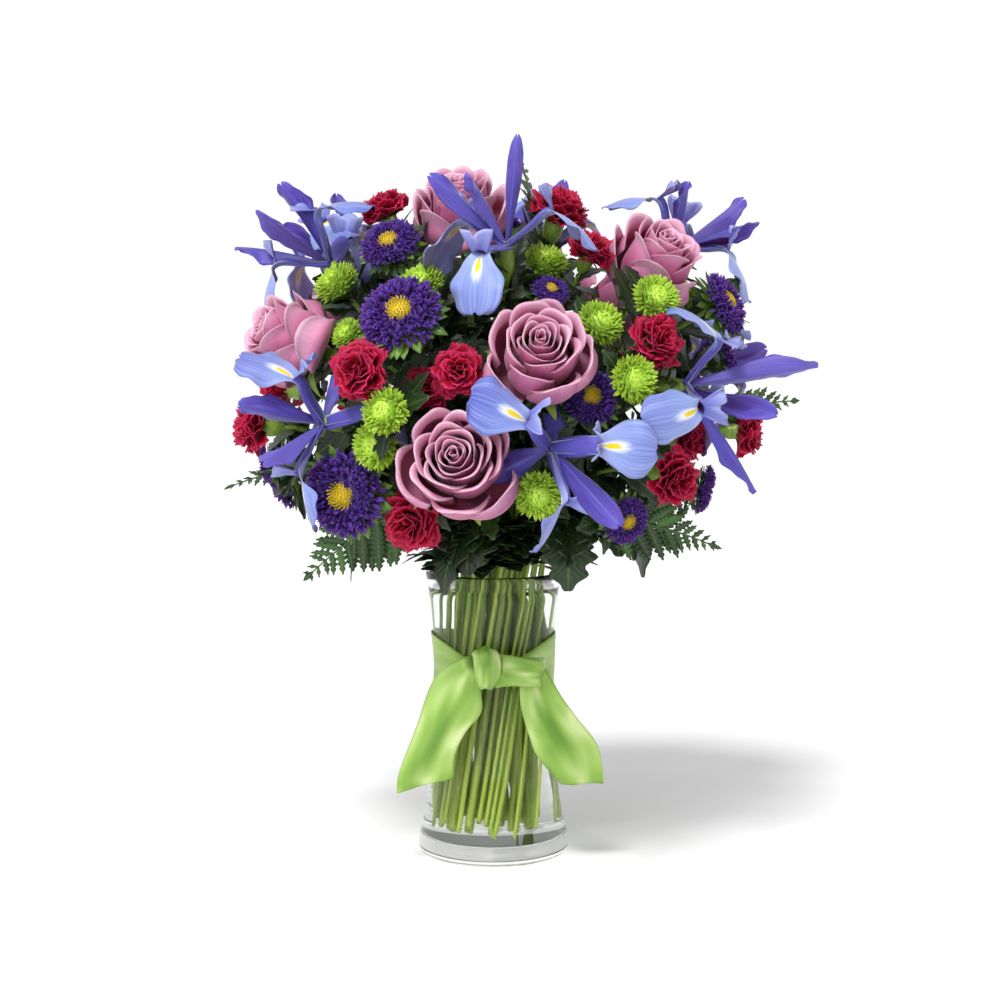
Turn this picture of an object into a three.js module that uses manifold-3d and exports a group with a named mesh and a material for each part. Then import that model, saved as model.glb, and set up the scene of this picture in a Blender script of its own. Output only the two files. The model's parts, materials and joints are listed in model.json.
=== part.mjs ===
// A hand-tied bouquet of irises with roses, carnations, asters, button mums and fern, standing in water
// in a flared glass vase that has a satin ribbon tied round its waist.
// Millimetres, +Z up, -Y is the front. The origin is the centre of the vase's underside.
import * as THREE from "three";
import { mergeVertices } from "three/addons/utils/BufferGeometryUtils.js";
import Module from "manifold-3d";

const wasm = await Module();
wasm.setup();

// ---- Driving sizes ----
const GAP = 0.4; // air between two pieces that press on each other

const VASE_HEIGHT = 203;
const RIM_RADIUS = 48.5;
const WAIST_RADIUS = 42;
const WAIST_HEIGHT = 125;
const HEEL_RADIUS = 54;
const HEEL_HEIGHT = 10;
const FOOT_RADIUS = 49;
const VASE_WALL = 3;
const VASE_FLOOR = 13;
const WATER_BELOW_RIM = 11;

const RIBBON_WIDTH = 36;
const RIBBON_THICKNESS = 0.8;
const RIBBON_HEIGHT = 142; // the middle of the band
const TAIL_DROP = 84; // how far the tails hang below the knot
const TAIL_SPLAY = 56; // how far to the side the tails swing

// The blooms lie on an egg-shaped dome over the rim.
const DOME_WIDTH = 356;
const DOME_DEPTH = 300;
const DOME_HEIGHT = 256;
const DOME_ABOVE_RIM = 127; // the dome's centre

const STEM_TWIST = 55; // degrees that the bundle spirals from the feet to the rim
const STEM_CLEARANCE = 1; // between a stem and the glass

const PETAL_THICKNESS = 1.4;
const HAFT_LENGTH = 38; // a fall's narrow inner half
const HAFT_WIDTH = 10;
const FALL_BLADE_LENGTH = 38; // and its broad hanging half
const FALL_BLADE_WIDTH = 38;
const STANDARD_LENGTH = 66;
const STANDARD_WIDTH = 22;
const FROND_THICKNESS = 1.6;

const UP = new THREE.Vector3(0, 0, 1);
const FRONT = new THREE.Vector3(0, -1, 0);
const vec = (x, y, z) => new THREE.Vector3(x, y, z);
const radians = THREE.MathUtils.degToRad;
const domeCentre = vec(0, 0, VASE_HEIGHT + DOME_ABOVE_RIM);

// ---- Kinds of flower ----
// Each outline is a half section of the bloom as [radius, height] in shares of its own radius and depth.
const KINDS = {
  rose: {
    radius: 39, depth: 52, stem: 3.2, neck: 22, color: 0xc9719b,
    outline: [[0, 0], [0.34, 0.03], [0.8, 0.28], [1, 0.66], [0.86, 0.92], [0.4, 1], [0, 0.94]],
  },
  carnation: {
    radius: 23, depth: 34, stem: 2.2, neck: 14, color: 0xc4123f,
    outline: [[0, 0], [0.22, 0.03], [0.3, 0.38], [1, 0.64], [0.62, 0.96], [0, 1]],
  },
  aster: {
    radius: 27, depth: 19, stem: 2, neck: 12, color: 0x4b2488,
    outline: [[0, 0], [0.45, 0.06], [1, 0.52], [0.66, 0.95], [0, 0.86]],
  },
  mum: {
    radius: 17, depth: 23, stem: 2, neck: 10, color: 0x93c531,
    outline: [[0, 0], [0.6, 0.1], [1, 0.5], [0.62, 0.94], [0, 1]],
  },
  iris: { radius: 6, depth: 34, stem: 3.2, neck: 24, color: 0x5b52c0 },
  fern: { radius: 3, depth: 10, stem: 1.5, neck: 12, color: 0x2f5a2c },
  leaf: { radius: 3, depth: 10, stem: 1.5, neck: 12, color: 0x3b6b2b },
};

// ---- The bouquet ----
// A bloom sits at [turn, lift, reach] on the dome: turn is measured in degrees from the front towards +X, lift in
// degrees above the dome's middle, and reach is 1 on the dome itself. face is the [turn, lift] that it looks along,
// where it doesn't look straight out from the dome. A spray carries several blooms on one stem. The irises in front
// have each fall's haft and blade, and each standard, along a [turn, lift] of its own.
const BOUQUET = [
  { name: "rose_1", kind: "rose", blooms: [{ at: [10, 14, 0.98], face: [4, 28] }] },
  { name: "rose_2", kind: "rose", blooms: [{ at: [-8, -18, 0.99], face: [-4, 16], size: 1.06 }] },
  { name: "rose_3", kind: "rose", blooms: [{ at: [-63, 19, 0.93], face: [-66, 26], size: 0.92 }] },
  { name: "rose_4", kind: "rose", blooms: [{ at: [64, 46, 0.99], face: [35, 48], size: 0.94 }] },
  { name: "rose_5", kind: "rose", blooms: [{ at: [-50, 80, 1.0], face: [-10, 62], size: 0.96 }] },
  { name: "rose_6", kind: "rose", blooms: [{ at: [140, 30, 0.94] }] },
  { name: "rose_7", kind: "rose", blooms: [{ at: [188, 2, 0.96] }] },
  { name: "rose_8", kind: "rose", blooms: [{ at: [-132, 22, 0.94] }] },

  {
    name: "iris_1", kind: "iris",
    blooms: [{
      at: [-80, 47, 0.92], face: [-78, 48],
      falls: [{ haft: [-60, 80], blade: [82, 4] }, { haft: [-84, -4], blade: [-100, -78] }, { haft: [168, 24], blade: [178, -50] }],
      standards: [{ along: [-84, 58] }, { along: [-62, 34] }, { along: [-104, 10], length: 1.08 }],
    }],
  },
  {
    name: "iris_2", kind: "iris",
    blooms: [{
      at: [5, 52, 0.95], face: [10, 66],
      falls: [{ haft: [86, 34], blade: [76, -40] }, { haft: [-28, -12], blade: [-30, -78] }, { haft: [-122, 22], blade: [-104, -52] }],
      standards: [{ along: [60, 84], length: 1.24 }, { along: [-62, 58], length: 0.86 }, { along: [-98, 42], length: 1.08 }],
    }],
  },
  {
    name: "iris_3", kind: "iris",
    blooms: [{
      at: [103, 46, 1.05], face: [90, 50],
      falls: [{ haft: [-92, 68], blade: [-112, -6] }, { haft: [78, -4], blade: [70, -66] }, { haft: [172, 30], blade: [-170, -30] }],
      standards: [{ along: [100, 36], length: 0.96 }, { along: [74, 18], length: 0.96 }, { along: [110, 78], length: 0.76 }],
    }],
  },
  {
    name: "iris_4", kind: "iris",
    blooms: [{
      at: [48, 4, 0.93], face: [70, 0],
      falls: [{ haft: [76, 58], blade: [-110, 34] }, { haft: [8, -22], blade: [-76, -14] }, { haft: [152, -24], blade: [-168, -46] }],
      standards: [{ along: [90, 8], length: 1.36 }, { along: [52, -14], length: 1.12 }, { along: [84, -56], length: 1.3 }],
    }],
  },
  {
    name: "iris_5", kind: "iris",
    blooms: [{
      at: [13, -15, 0.92], face: [16, -4],
      falls: [{ haft: [-34, 32], blade: [-74, 24] }, { haft: [62, 4], blade: [108, -6] }, { haft: [24, -62], blade: [-40, -50] }],
      standards: [{ along: [42, -36], length: 1.2 }, { along: [-96, -24], length: 0.7 }, { along: [160, 56], length: 0.7 }],
    }],
  },
  {
    name: "iris_6", kind: "iris",
    blooms: [{
      at: [-42, -8, 0.92], face: [-46, 2],
      falls: [{ haft: [-62, 54], blade: [-96, 20] }, { haft: [-48, -62], blade: [40, -70] }, { haft: [78, 14], blade: [130, -24] }],
      standards: [{ along: [-70, 12], length: 0.9 }, { along: [-44, -24], length: 0.88 }, { along: [160, 58], length: 0.7 }],
    }],
  },
  { name: "iris_7", kind: "iris", blooms: [{ at: [160, 52, 0.96], spin: 60 }] },
  { name: "iris_8", kind: "iris", blooms: [{ at: [-160, -4, 0.9], face: [-160, 20], spin: 30 }] },
  { name: "iris_9", kind: "iris", blooms: [{ at: [118, 6, 0.92], face: [118, 24], spin: 10 }] },
  { name: "iris_10", kind: "iris", blooms: [{ at: [-122, 44, 0.96], spin: 40 }] },

  { name: "carnation_1", kind: "carnation", blooms: [{ at: [-74, 66, 1.06], size: 0.85 }] },
  {
    name: "carnation_2", kind: "carnation",
    blooms: [{ at: [-29, 8, 0.98], size: 1.04 }, { at: [-8, 9, 0.88], size: 0.84 }, { at: [-19, 4, 0.72], size: 0.8 }],
  },
  { name: "carnation_3", kind: "carnation", blooms: [{ at: [-68, -10, 0.98], size: 0.92 }] },
  { name: "carnation_4", kind: "carnation", blooms: [{ at: [-25, -42, 0.94] }] },
  { name: "carnation_5", kind: "carnation", blooms: [{ at: [52, 72, 1.0], size: 1.08 }, { at: [42, 54, 0.92], size: 0.8 }] },
  { name: "carnation_6", kind: "carnation", blooms: [{ at: [40, 17, 0.95] }] },
  {
    name: "carnation_7", kind: "carnation",
    blooms: [{ at: [48, -25, 0.98], size: 0.96 }, { at: [64, -16, 0.84], size: 0.8 }, { at: [84, -12, 1.0], size: 0.85 }],
  },
  { name: "carnation_8", kind: "carnation", blooms: [{ at: [172, 26, 0.96] }, { at: [150, 4, 0.98] }] },
  { name: "carnation_9", kind: "carnation", blooms: [{ at: [-146, -8, 0.98] }, { at: [-118, 0, 0.96] }] },

  { name: "aster_1", kind: "aster", blooms: [{ at: [-23, 27, 0.97], face: [-18, 34], size: 1.04 }, { at: [-52, 58, 0.95], face: [-20, 42], size: 0.8 }] },
  { name: "aster_2", kind: "aster", blooms: [{ at: [-40, -30, 1.0], face: [-22, -6], size: 1.08 }, { at: [-82, -23, 0.98], size: 0.5 }] },
  { name: "aster_3", kind: "aster", blooms: [{ at: [25, 1, 0.84], size: 0.76 }, { at: [22, 44, 0.8], size: 0.5 }] },
  { name: "aster_4", kind: "aster", blooms: [{ at: [48, -44, 0.95], face: [30, -14], size: 0.64 }, { at: [80, -32, 0.99], size: 0.64 }] },
  { name: "aster_5", kind: "aster", blooms: [{ at: [78, 28, 1.04], face: [62, 24], size: 0.84 }, { at: [84, 12, 0.94], size: 0.6 }] },
  { name: "aster_6", kind: "aster", blooms: [{ at: [178, 62, 0.98] }, { at: [128, -22, 0.98] }] },
  { name: "aster_7", kind: "aster", blooms: [{ at: [-168, 30, 0.98] }, { at: [-104, -28, 0.98] }] },

  {
    name: "mum_1", kind: "mum",
    blooms: [{ at: [-58, 40, 0.92] }, { at: [-45, 23, 0.84], size: 0.7 }, { at: [-30, 47, 0.8] }],
  },
  { name: "mum_2", kind: "mum", blooms: [{ at: [-23, -3, 1.0] }, { at: [-29, -15, 0.92] }] },
  { name: "mum_3", kind: "mum", blooms: [{ at: [11, -29, 1.0], face: [4, -10] }] },
  {
    name: "mum_4", kind: "mum",
    blooms: [{ at: [45, 31, 1.0], face: [20, 30] }, { at: [30, 26, 0.88] }, { at: [31, 6, 1.0], face: [24, 10] }, { at: [32, 62, 0.8] }],
  },
  { name: "mum_5", kind: "mum", blooms: [{ at: [156, 12, 0.84] }, { at: [112, 30, 0.98] }, { at: [166, -22, 0.96] }] },
  { name: "mum_6", kind: "mum", blooms: [{ at: [-140, 48, 0.96] }, { at: [-110, 20, 0.98] }, { at: [-130, -30, 0.96] }] },

  // A frond or leaf has a base and a tip in the dome's terms, a width, and a roll from level towards on edge.
  { name: "fern_1", kind: "fern", frond: { at: [-38, -52, 0.72], tip: [-76, -53, 1.27], width: 64, roll: 62 } },
  { name: "fern_2", kind: "fern", frond: { at: [-72, -34, 0.72], tip: [-82, -26, 1.18], width: 36, roll: 30 } },
  { name: "fern_3", kind: "fern", frond: { at: [46, -60, 0.76], tip: [72, -42, 1.24], width: 62, roll: -58 } },
  { name: "fern_4", kind: "fern", frond: { at: [80, -12, 0.84], tip: [84, -2, 1.2], width: 36, roll: -50 } },
  { name: "fern_5", kind: "fern", frond: { at: [30, 66, 0.88], tip: [48, 84, 1.3], width: 26, roll: 40 } },
  { name: "fern_6", kind: "fern", frond: { at: [74, -44, 0.74], tip: [82, -33, 1.16], width: 44, roll: -56 } },
  { name: "fern_7", kind: "fern", frond: { at: [150, -52, 0.74], tip: [140, -50, 1.2], width: 60, roll: 30 } },
  { name: "fern_8", kind: "fern", frond: { at: [-150, -52, 0.74], tip: [-140, -50, 1.2], width: 60, roll: -30 } },
  { name: "leaf_1", kind: "leaf", frond: { at: [-11, -61, 0.72], tip: [-24, -64, 1.14], width: 40, roll: 10 } },
  { name: "leaf_2", kind: "leaf", frond: { at: [40, -56, 0.78], tip: [33, -62, 1.15], width: 38, roll: 14 } },
  { name: "leaf_3", kind: "leaf", frond: { at: [178, -60, 0.72], tip: [174, -64, 1.14], width: 42, roll: 0 } },
  { name: "leaf_4", kind: "leaf", frond: { at: [-95, -56, 0.74], tip: [-92, -60, 1.18], width: 40, roll: 20 } },
  { name: "leaf_5", kind: "leaf", frond: { at: [100, -54, 0.76], tip: [104, -58, 1.2], width: 40, roll: -20 } },
];

// ---- Geometry into solids and back ----
function solid(geometry) {
  const loose = geometry.index ? geometry.toNonIndexed() : geometry;
  const bare = new THREE.BufferGeometry().setAttribute("position", loose.getAttribute("position"));
  const merged = mergeVertices(bare, 1e-3);
  const corners = merged.index.array;
  const kept = [];
  for (let i = 0; i < corners.length; i += 3) {
    const [a, b, c] = [corners[i], corners[i + 1], corners[i + 2]];
    if (a !== b && b !== c && c !== a) kept.push(a, b, c);
  }
  const vertProperties = merged.getAttribute("position").array;
  return new wasm.Manifold(new wasm.Mesh({ numProp: 3, vertProperties, triVerts: new Uint32Array(kept) }));
}

function meshOf(name, made, material) {
  const data = made.getMesh();
  const geometry = new THREE.BufferGeometry()
    .setAttribute("position", new THREE.BufferAttribute(new Float32Array(data.vertProperties), 3))
    .setIndex(new THREE.BufferAttribute(new Uint32Array(data.triVerts), 1));
  geometry.computeVertexNormals();
  const mesh = new THREE.Mesh(geometry, material);
  mesh.name = name;
  return mesh;
}

const biggest = (made) => made.decompose().reduce((a, b) => (b.volume() > a.volume() ? b : a));

// ---- Shapes that the pieces share ----
function revolved(outline, sides) {
  const points = outline.map(([r, z]) => new THREE.Vector2(r, z));
  return new THREE.LatheGeometry(points, sides).rotateX(Math.PI / 2);
}

// A line through given points, whose tube gets one ring at each point.
class Strand extends THREE.Curve {
  constructor(points) {
    super();
    this.points = points;
  }
  getPoint(t) {
    const last = this.points.length - 1;
    const at = Math.min(Math.max(t, 0), 1) * last;
    const i = Math.min(Math.floor(at), last - 1);
    return this.points[i].clone().lerp(this.points[i + 1], at - i);
  }
  getUtoTmapping(u) {
    return u;
  }
}

function tube(points, radius, sides) {
  const ring = new THREE.Shape();
  for (let i = 0; i < sides; i++) {
    const angle = (2 * Math.PI * i) / sides;
    ring[i ? "lineTo" : "moveTo"](radius * Math.cos(angle), radius * Math.sin(angle));
  }
  ring.closePath();
  return new THREE.ExtrudeGeometry(ring, {
    steps: points.length - 1, bevelEnabled: false, extrudePath: new Strand(points),
  });
}

// Moves each vertex of a shape that stands along +Y from -1 to 1 onto a curve. Its X becomes the width, square to
// the curve along side, and its Z the thickness.
function bent(shape, curve, side, widthAt, thickness) {
  const place = shape.getAttribute("position");
  const v = new THREE.Vector3();
  for (let i = 0; i < place.count; i++) {
    v.fromBufferAttribute(place, i);
    const t = (1 + v.y) / 2;
    const spread = Math.hypot(v.x, v.z) || 1;
    const along = curve.getTangent(t);
    const across = side.clone().addScaledVector(along, -side.dot(along)).normalize();
    const out = across.clone().cross(along);
    const isTip = Math.abs(v.x) + Math.abs(v.z) < 1e-6;
    const p = curve.getPoint(t);
    if (!isTip) {
      p.addScaledVector(across, ((v.x / spread) * widthAt(t)) / 2);
      p.addScaledVector(out, ((v.z / spread) * thickness) / 2);
    }
    place.setXYZ(i, p.x, p.y, p.z);
  }
  return shape;
}

const BLADE_SIDES = 4;
const blade = (curve, side, widthAt, thickness, rings) =>
  bent(new THREE.SphereGeometry(1, BLADE_SIDES, rings), curve, side, widthAt, thickness);

// A smooth rise from one value to another as t passes from one share of the length to another.
const rise = (t, from, to, low, high) => low + (high - low) * THREE.MathUtils.smoothstep(t, from, to);

// ---- The vase and its water ----
const outerWall = new THREE.CurvePath();
outerWall.add(
  new THREE.QuadraticBezierCurve(
    new THREE.Vector2(FOOT_RADIUS, 0), new THREE.Vector2(HEEL_RADIUS, HEEL_HEIGHT * 0.1),
    new THREE.Vector2(HEEL_RADIUS, HEEL_HEIGHT),
  ),
);
outerWall.add(
  new THREE.QuadraticBezierCurve(
    new THREE.Vector2(HEEL_RADIUS, HEEL_HEIGHT), new THREE.Vector2(WAIST_RADIUS, WAIST_HEIGHT * 0.42),
    new THREE.Vector2(WAIST_RADIUS, WAIST_HEIGHT),
  ),
);
outerWall.add(
  new THREE.QuadraticBezierCurve(
    new THREE.Vector2(WAIST_RADIUS, WAIST_HEIGHT),
    new THREE.Vector2(WAIST_RADIUS, WAIST_HEIGHT + (VASE_HEIGHT - WAIST_HEIGHT) * 0.5),
    new THREE.Vector2(RIM_RADIUS, VASE_HEIGHT),
  ),
);
const wallPoints = outerWall.curves.flatMap((c, i) => c.getPoints([2, 5, 3][i]).slice(i ? 1 : 0));

function outerRadius(z) {
  const i = wallPoints.findIndex((p) => p.y >= z);
  if (i < 1) return i ? RIM_RADIUS : FOOT_RADIUS;
  const [a, b] = [wallPoints[i - 1], wallPoints[i]];
  return a.x + ((b.x - a.x) * (z - a.y)) / (b.y - a.y);
}

const VASE_SIDES = 32;
const cavity = wallPoints.filter((p) => p.y > VASE_FLOOR + 4 && p.y < VASE_HEIGHT)
  .map((p) => [p.x - VASE_WALL, p.y]);
const floorCorner = [outerRadius(VASE_FLOOR) - VASE_WALL - 4, VASE_FLOOR];

function makeVase() {
  const lip = VASE_WALL * 0.3;
  return solid(revolved([
    [0, 0], ...wallPoints.slice(0, -1).map((p) => [p.x, p.y]),
    [RIM_RADIUS, VASE_HEIGHT - lip], [RIM_RADIUS - lip, VASE_HEIGHT],
    [RIM_RADIUS - VASE_WALL + lip, VASE_HEIGHT], [RIM_RADIUS - VASE_WALL, VASE_HEIGHT - lip],
    ...cavity.toReversed(), floorCorner, [0, VASE_FLOOR],
  ], VASE_SIDES));
}

// The room that the glass and what it holds take up, for cutting what lies outside.
const vaseCutter = solid(revolved([
  [0, -GAP], [HEEL_RADIUS + GAP, -GAP], ...wallPoints.map((p) => [p.x + GAP, p.y]),
  [RIM_RADIUS + GAP, VASE_HEIGHT + GAP], [0, VASE_HEIGHT + GAP],
], VASE_SIDES));

// The water fills the glass to just under the rim and closes round every stem.
function makeWater(stems) {
  const level = VASE_HEIGHT - WATER_BELOW_RIM;
  const inner = outerRadius(level) - VASE_WALL - GAP;
  const full = solid(revolved([
    [0, VASE_FLOOR + GAP], [floorCorner[0] - GAP, VASE_FLOOR + GAP],
    ...cavity.filter(([, z]) => z < level - 5).map(([r, z]) => [r - GAP, z]),
    [inner, level], [0, level],
  ], VASE_SIDES));
  return biggest(stems.reduce((water, stem) => water.subtract(stem), full));
}

// ---- The ribbon: a band, a knot with one loop, and two tails ----
function strap(points, width, side) {
  const curve = new THREE.CatmullRomCurve3(points);
  return solid(bent(new THREE.BoxGeometry(2, 2, 2, 1, points.length * 2, 1), curve, side,
    () => width * Math.SQRT2, RIBBON_THICKNESS * Math.SQRT2));
}

function makeRibbon() {
  const half = RIBBON_WIDTH / 2;
  const low = RIBBON_HEIGHT - half;
  const high = RIBBON_HEIGHT + half;
  const ring = [low, RIBBON_HEIGHT, high].map((z) => [outerRadius(z) + GAP, z]);
  const outside = ring.map(([r, z]) => [r + RIBBON_THICKNESS, z]).toReversed();
  const band = solid(revolved([ring[0], ...outside.toReversed(), ring[2], ring[1], ring[0]], VASE_SIDES));
  const front = outerRadius(RIBBON_HEIGHT) + GAP;
  const knot = solid(new THREE.SphereGeometry(1, 10, 6).scale(10, 8, 12)
    .translate(-2, -front - 6, RIBBON_HEIGHT));
  const end = RIBBON_HEIGHT - TAIL_DROP;
  const tails = [-1, 1].map((way) => strap([
    vec(way * 6, -front - 6, RIBBON_HEIGHT + 2),
    vec(way * TAIL_SPLAY * 0.48, -front - 9, RIBBON_HEIGHT - TAIL_DROP * 0.2),
    vec(way * TAIL_SPLAY * 0.8, -front - 8, RIBBON_HEIGHT - TAIL_DROP * 0.62),
    vec(way * TAIL_SPLAY, -front - 4, end),
  ], RIBBON_WIDTH, vec(1, way * 0.25, 0.35 * way).normalize()));
  const loop = strap([
    vec(4, -front - 4, RIBBON_HEIGHT + 3), vec(20, -front - 8, RIBBON_HEIGHT + 5),
    vec(30, -front - 5, RIBBON_HEIGHT - 4), vec(22, -front - 3, RIBBON_HEIGHT - 8),
  ], RIBBON_WIDTH * 0.4, vec(0, 0.3, 1).normalize());
  return biggest([knot, loop, ...tails].reduce((all, piece) => all.add(piece.subtract(vaseCutter)), band));
}

// ---- Where blooms sit ----
function direction(turn, lift) {
  const [t, l] = [radians(turn), radians(lift)];
  return vec(Math.cos(l) * Math.sin(t), -Math.cos(l) * Math.cos(t), Math.sin(l));
}

function onDome([turn, lift, reach]) {
  const size = vec(DOME_WIDTH / 2, DOME_DEPTH / 2, DOME_HEIGHT / 2);
  return direction(turn, lift).multiply(size).multiplyScalar(reach).add(domeCentre);
}

// The bloom's base, the way it faces, and two directions square to that.
function frameOf(bloom, kind) {
  const centre = onDome(bloom.at);
  const [turn, lift] = bloom.at;
  const facing = bloom.face ? direction(...bloom.face) : direction(turn, lift * 0.8 + 12);
  const right = UP.clone().cross(facing).normalize();
  right.applyAxisAngle(facing, radians(bloom.spin ?? 0));
  const size = bloom.size ?? 1;
  const base = centre.clone().addScaledVector(facing, -kind.depth * size * 0.5);
  return { centre, facing, right, over: facing.clone().cross(right), base, size };
}

// ---- Stems: each is a line of points, pushed clear of the others and of the other flowers' blooms ----
const stemRoom = (z) => outerRadius(z) - VASE_WALL - STEM_CLEARANCE;
const MOUTH_HEIGHT = VASE_HEIGHT + 6;
const FORK = 4; // the point of a stem where a spray's branches part from it

function packedInNeck(plants) {
  const ranked = plants.map((p) => p.aim).sort((a, b) => b.lift - a.lift);
  ranked.forEach((aim, i) => {
    aim.share = 0.9 * Math.sqrt((i + 0.5) / ranked.length);
  });
}

// The bundle narrows at the waist and spirals as it rises.
function inBundle(aim, z, radius) {
  const r = aim.share * (stemRoom(z) - radius) * (z < WAIST_HEIGHT / 2 ? 0.88 : 1);
  const angle = radians(aim.turn + (STEM_TWIST * (z - VASE_HEIGHT)) / VASE_HEIGHT);
  return vec(r * Math.sin(angle), -r * Math.cos(angle), z);
}

// A bend from one point and way of going to another, without its first point.
function bend(from, way, to, arrival, steps) {
  const reach = from.distanceTo(to) * 0.36;
  const curve = new THREE.CubicBezierCurve3(
    from, from.clone().addScaledVector(way, reach), to.clone().addScaledVector(arrival, -reach), to,
  );
  return curve.getPoints(steps).slice(1);
}

function plant(row, index) {
  const kind = KINDS[row.kind];
  const frames = row.frond ? [frondFrame(row.frond)] : row.blooms.map((b) => frameOf(b, kind));
  const first = row.frond ? row.frond.at : row.blooms[0].at;
  return { ...row, index, kind, kindName: row.kind, frames, aim: { turn: first[0], lift: first[1] } };
}

function stemStrands(p) {
  const { kind, aim, frames, index } = p;
  const foot = VASE_FLOOR + 3 + (index % 5) * 2.5;
  const inside = [foot, WAIST_HEIGHT * 0.55, WAIST_HEIGHT * 1.12, MOUTH_HEIGHT]
    .map((z) => inBundle(aim, z, kind.stem));
  const top = inside.at(-1);
  const way = top.clone().sub(inside.at(-2)).normalize();
  const toBloom = (from, going, f) => {
    const neck = f.base.clone().addScaledVector(f.facing, -kind.neck);
    const end = f.base.clone().addScaledVector(f.facing, kind.depth * f.size * 0.25);
    return [...bend(from, going, neck, f.facing, 3), end];
  };
  const main = { plant: p, radius: kind.stem, points: [...inside, ...toBloom(top, way, frames[0])] };
  const fork = main.points[FORK];
  const on = fork.clone().sub(top).normalize();
  const branches = frames.slice(1).map((f) => ({
    plant: p, radius: kind.stem * 0.7, fork: main, points: [fork.clone(), ...toBloom(fork, on, f)],
  }));
  return [main, ...branches];
}

// The closest points of two segments, as shares of each.
function closest(a, b, c, d) {
  const [u, v, w] = [b.clone().sub(a), d.clone().sub(c), a.clone().sub(c)];
  const [uu, uv, vv, uw, vw] = [u.dot(u), u.dot(v), v.dot(v), u.dot(w), v.dot(w)];
  const bottom = uu * vv - uv * uv;
  const s = bottom > 1e-9 ? THREE.MathUtils.clamp((uv * vw - vv * uw) / bottom, 0, 1) : 0.5;
  const t = THREE.MathUtils.clamp((uv * s + vw) / vv, 0, 1);
  return [THREE.MathUtils.clamp((uv * t - uw) / uu, 0, 1), t];
}

function nudge(strand, i, share, push) {
  const last = strand.points.length - 1;
  [[i, 1 - share], [i + 1, share]].forEach(([k, weight]) => {
    if (k > last - 2 || (k === 0 && strand.fork)) return;
    const { z } = strand.points[k];
    strand.points[k].addScaledVector(push, 0.5 + weight * 0.5);
    if (!strand.fork && k < FORK) strand.points[k].z = z;
  });
}

// The glass is narrower between two points than a straight stem would like.
function keepInGlass(strand) {
  for (let i = 0; i + 1 < strand.points.length && !strand.fork; i++) {
    const [a, b] = [strand.points[i], strand.points[i + 1]];
    for (const share of [0, 0.25, 0.5, 0.75, 1]) {
      const p = a.clone().lerp(b, share);
      if (p.z > MOUTH_HEIGHT + 1) break;
      const excess = Math.hypot(p.x, p.y) + strand.radius - stemRoom(p.z);
      if (excess <= 0) continue;
      const inward = vec(-p.x, -p.y, 0).setLength(excess);
      a.addScaledVector(inward, 1 - share * 0.5);
      if (i < FORK - 1) b.addScaledVector(inward, 0.5 + share * 0.5);
    }
  }
}

const ROUNDS = 160;
function untangle(strands, blooms) {
  const push = new THREE.Vector3();
  for (let round = 0; round < ROUNDS; round++) {
    strands.forEach((one, n) => {
      for (const two of strands.slice(n + 1)) {
        if (one.plant === two.plant) continue;
        const room = one.radius + two.radius + GAP * 2;
        for (let i = 0; i + 1 < one.points.length; i++)
          for (let k = 0; k + 1 < two.points.length; k++) {
            const [a, b, c, d] = [one.points[i], one.points[i + 1], two.points[k], two.points[k + 1]];
            const near = Math.min(a.distanceTo(c), a.distanceTo(d), b.distanceTo(c), b.distanceTo(d));
            if (near > room + Math.max(a.distanceTo(b), c.distanceTo(d))) continue;
            const [s, t] = closest(a, b, c, d);
            push.copy(a).lerp(b, s).sub(c.clone().lerp(d, t));
            const short = room - push.length();
            if (short <= 0) continue;
            push.setLength(short * 0.4);
            nudge(one, i, s, push);
            nudge(two, k, t, push.negate());
          }
      }
      for (const bloom of blooms) {
        if (bloom.plant === one.plant) continue;
        for (let i = one.fork ? 1 : FORK; i + 2 < one.points.length; i++) {
          push.copy(one.points[i]).sub(bloom.centre);
          const short = bloom.radius + one.radius + GAP - push.length();
          if (short > 0) one.points[i].addScaledVector(push.normalize(), short * 0.3);
        }
      }
      keepInGlass(one);
      if (one.fork) one.points[0].copy(one.fork.points[FORK]);
    });
  }
}

// ---- Blooms ----
// A copy that is grown by GAP all round cuts what presses on it.
function bloomSolid(p, frame, grow) {
  const { outline, radius, depth } = p.kind;
  const middle = depth * frame.size * 0.5;
  const share = 1 + (2 * grow) / (depth * frame.size * 0.8);
  const points = outline.map(([r, z]) => [
    r * radius * frame.size * share, (z * depth * frame.size - middle) * share + middle,
  ]);
  const place = new THREE.Matrix4().makeBasis(frame.right, frame.over, frame.facing).setPosition(frame.base);
  return solid(revolved(points, 10).applyMatrix4(place));
}

const fallWidth = (t) => (t < 0.74 ? rise(t, 0.36, 0.74, HAFT_WIDTH, FALL_BLADE_WIDTH) : rise(t, 0.74, 1.05, FALL_BLADE_WIDTH, 12));
const standardWidth = (t) => (t < 0.62 ? rise(t, 0, 0.62, 6, STANDARD_WIDTH) : rise(t, 0.62, 1.04, STANDARD_WIDTH, 5));

// An iris whose petals aren't given opens evenly: falls rise and then hang, and standards stand between them.
function evenPetals({ right, facing }) {
  const around = (angle, out, up) => right.clone().applyAxisAngle(facing, radians(angle))
    .multiplyScalar(out).addScaledVector(facing, up).normalize();
  return {
    falls: [0, 120, 240].map((a) => ({ haft: around(a, 0.75, 0.66), blade: around(a, 0.6, -0.8) })),
    standards: [60, 180, 300].map((a) => ({ along: around(a, 0.5, 0.87) })),
  };
}

const toward = (way) => (way.isVector3 ? way : direction(...way));

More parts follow.
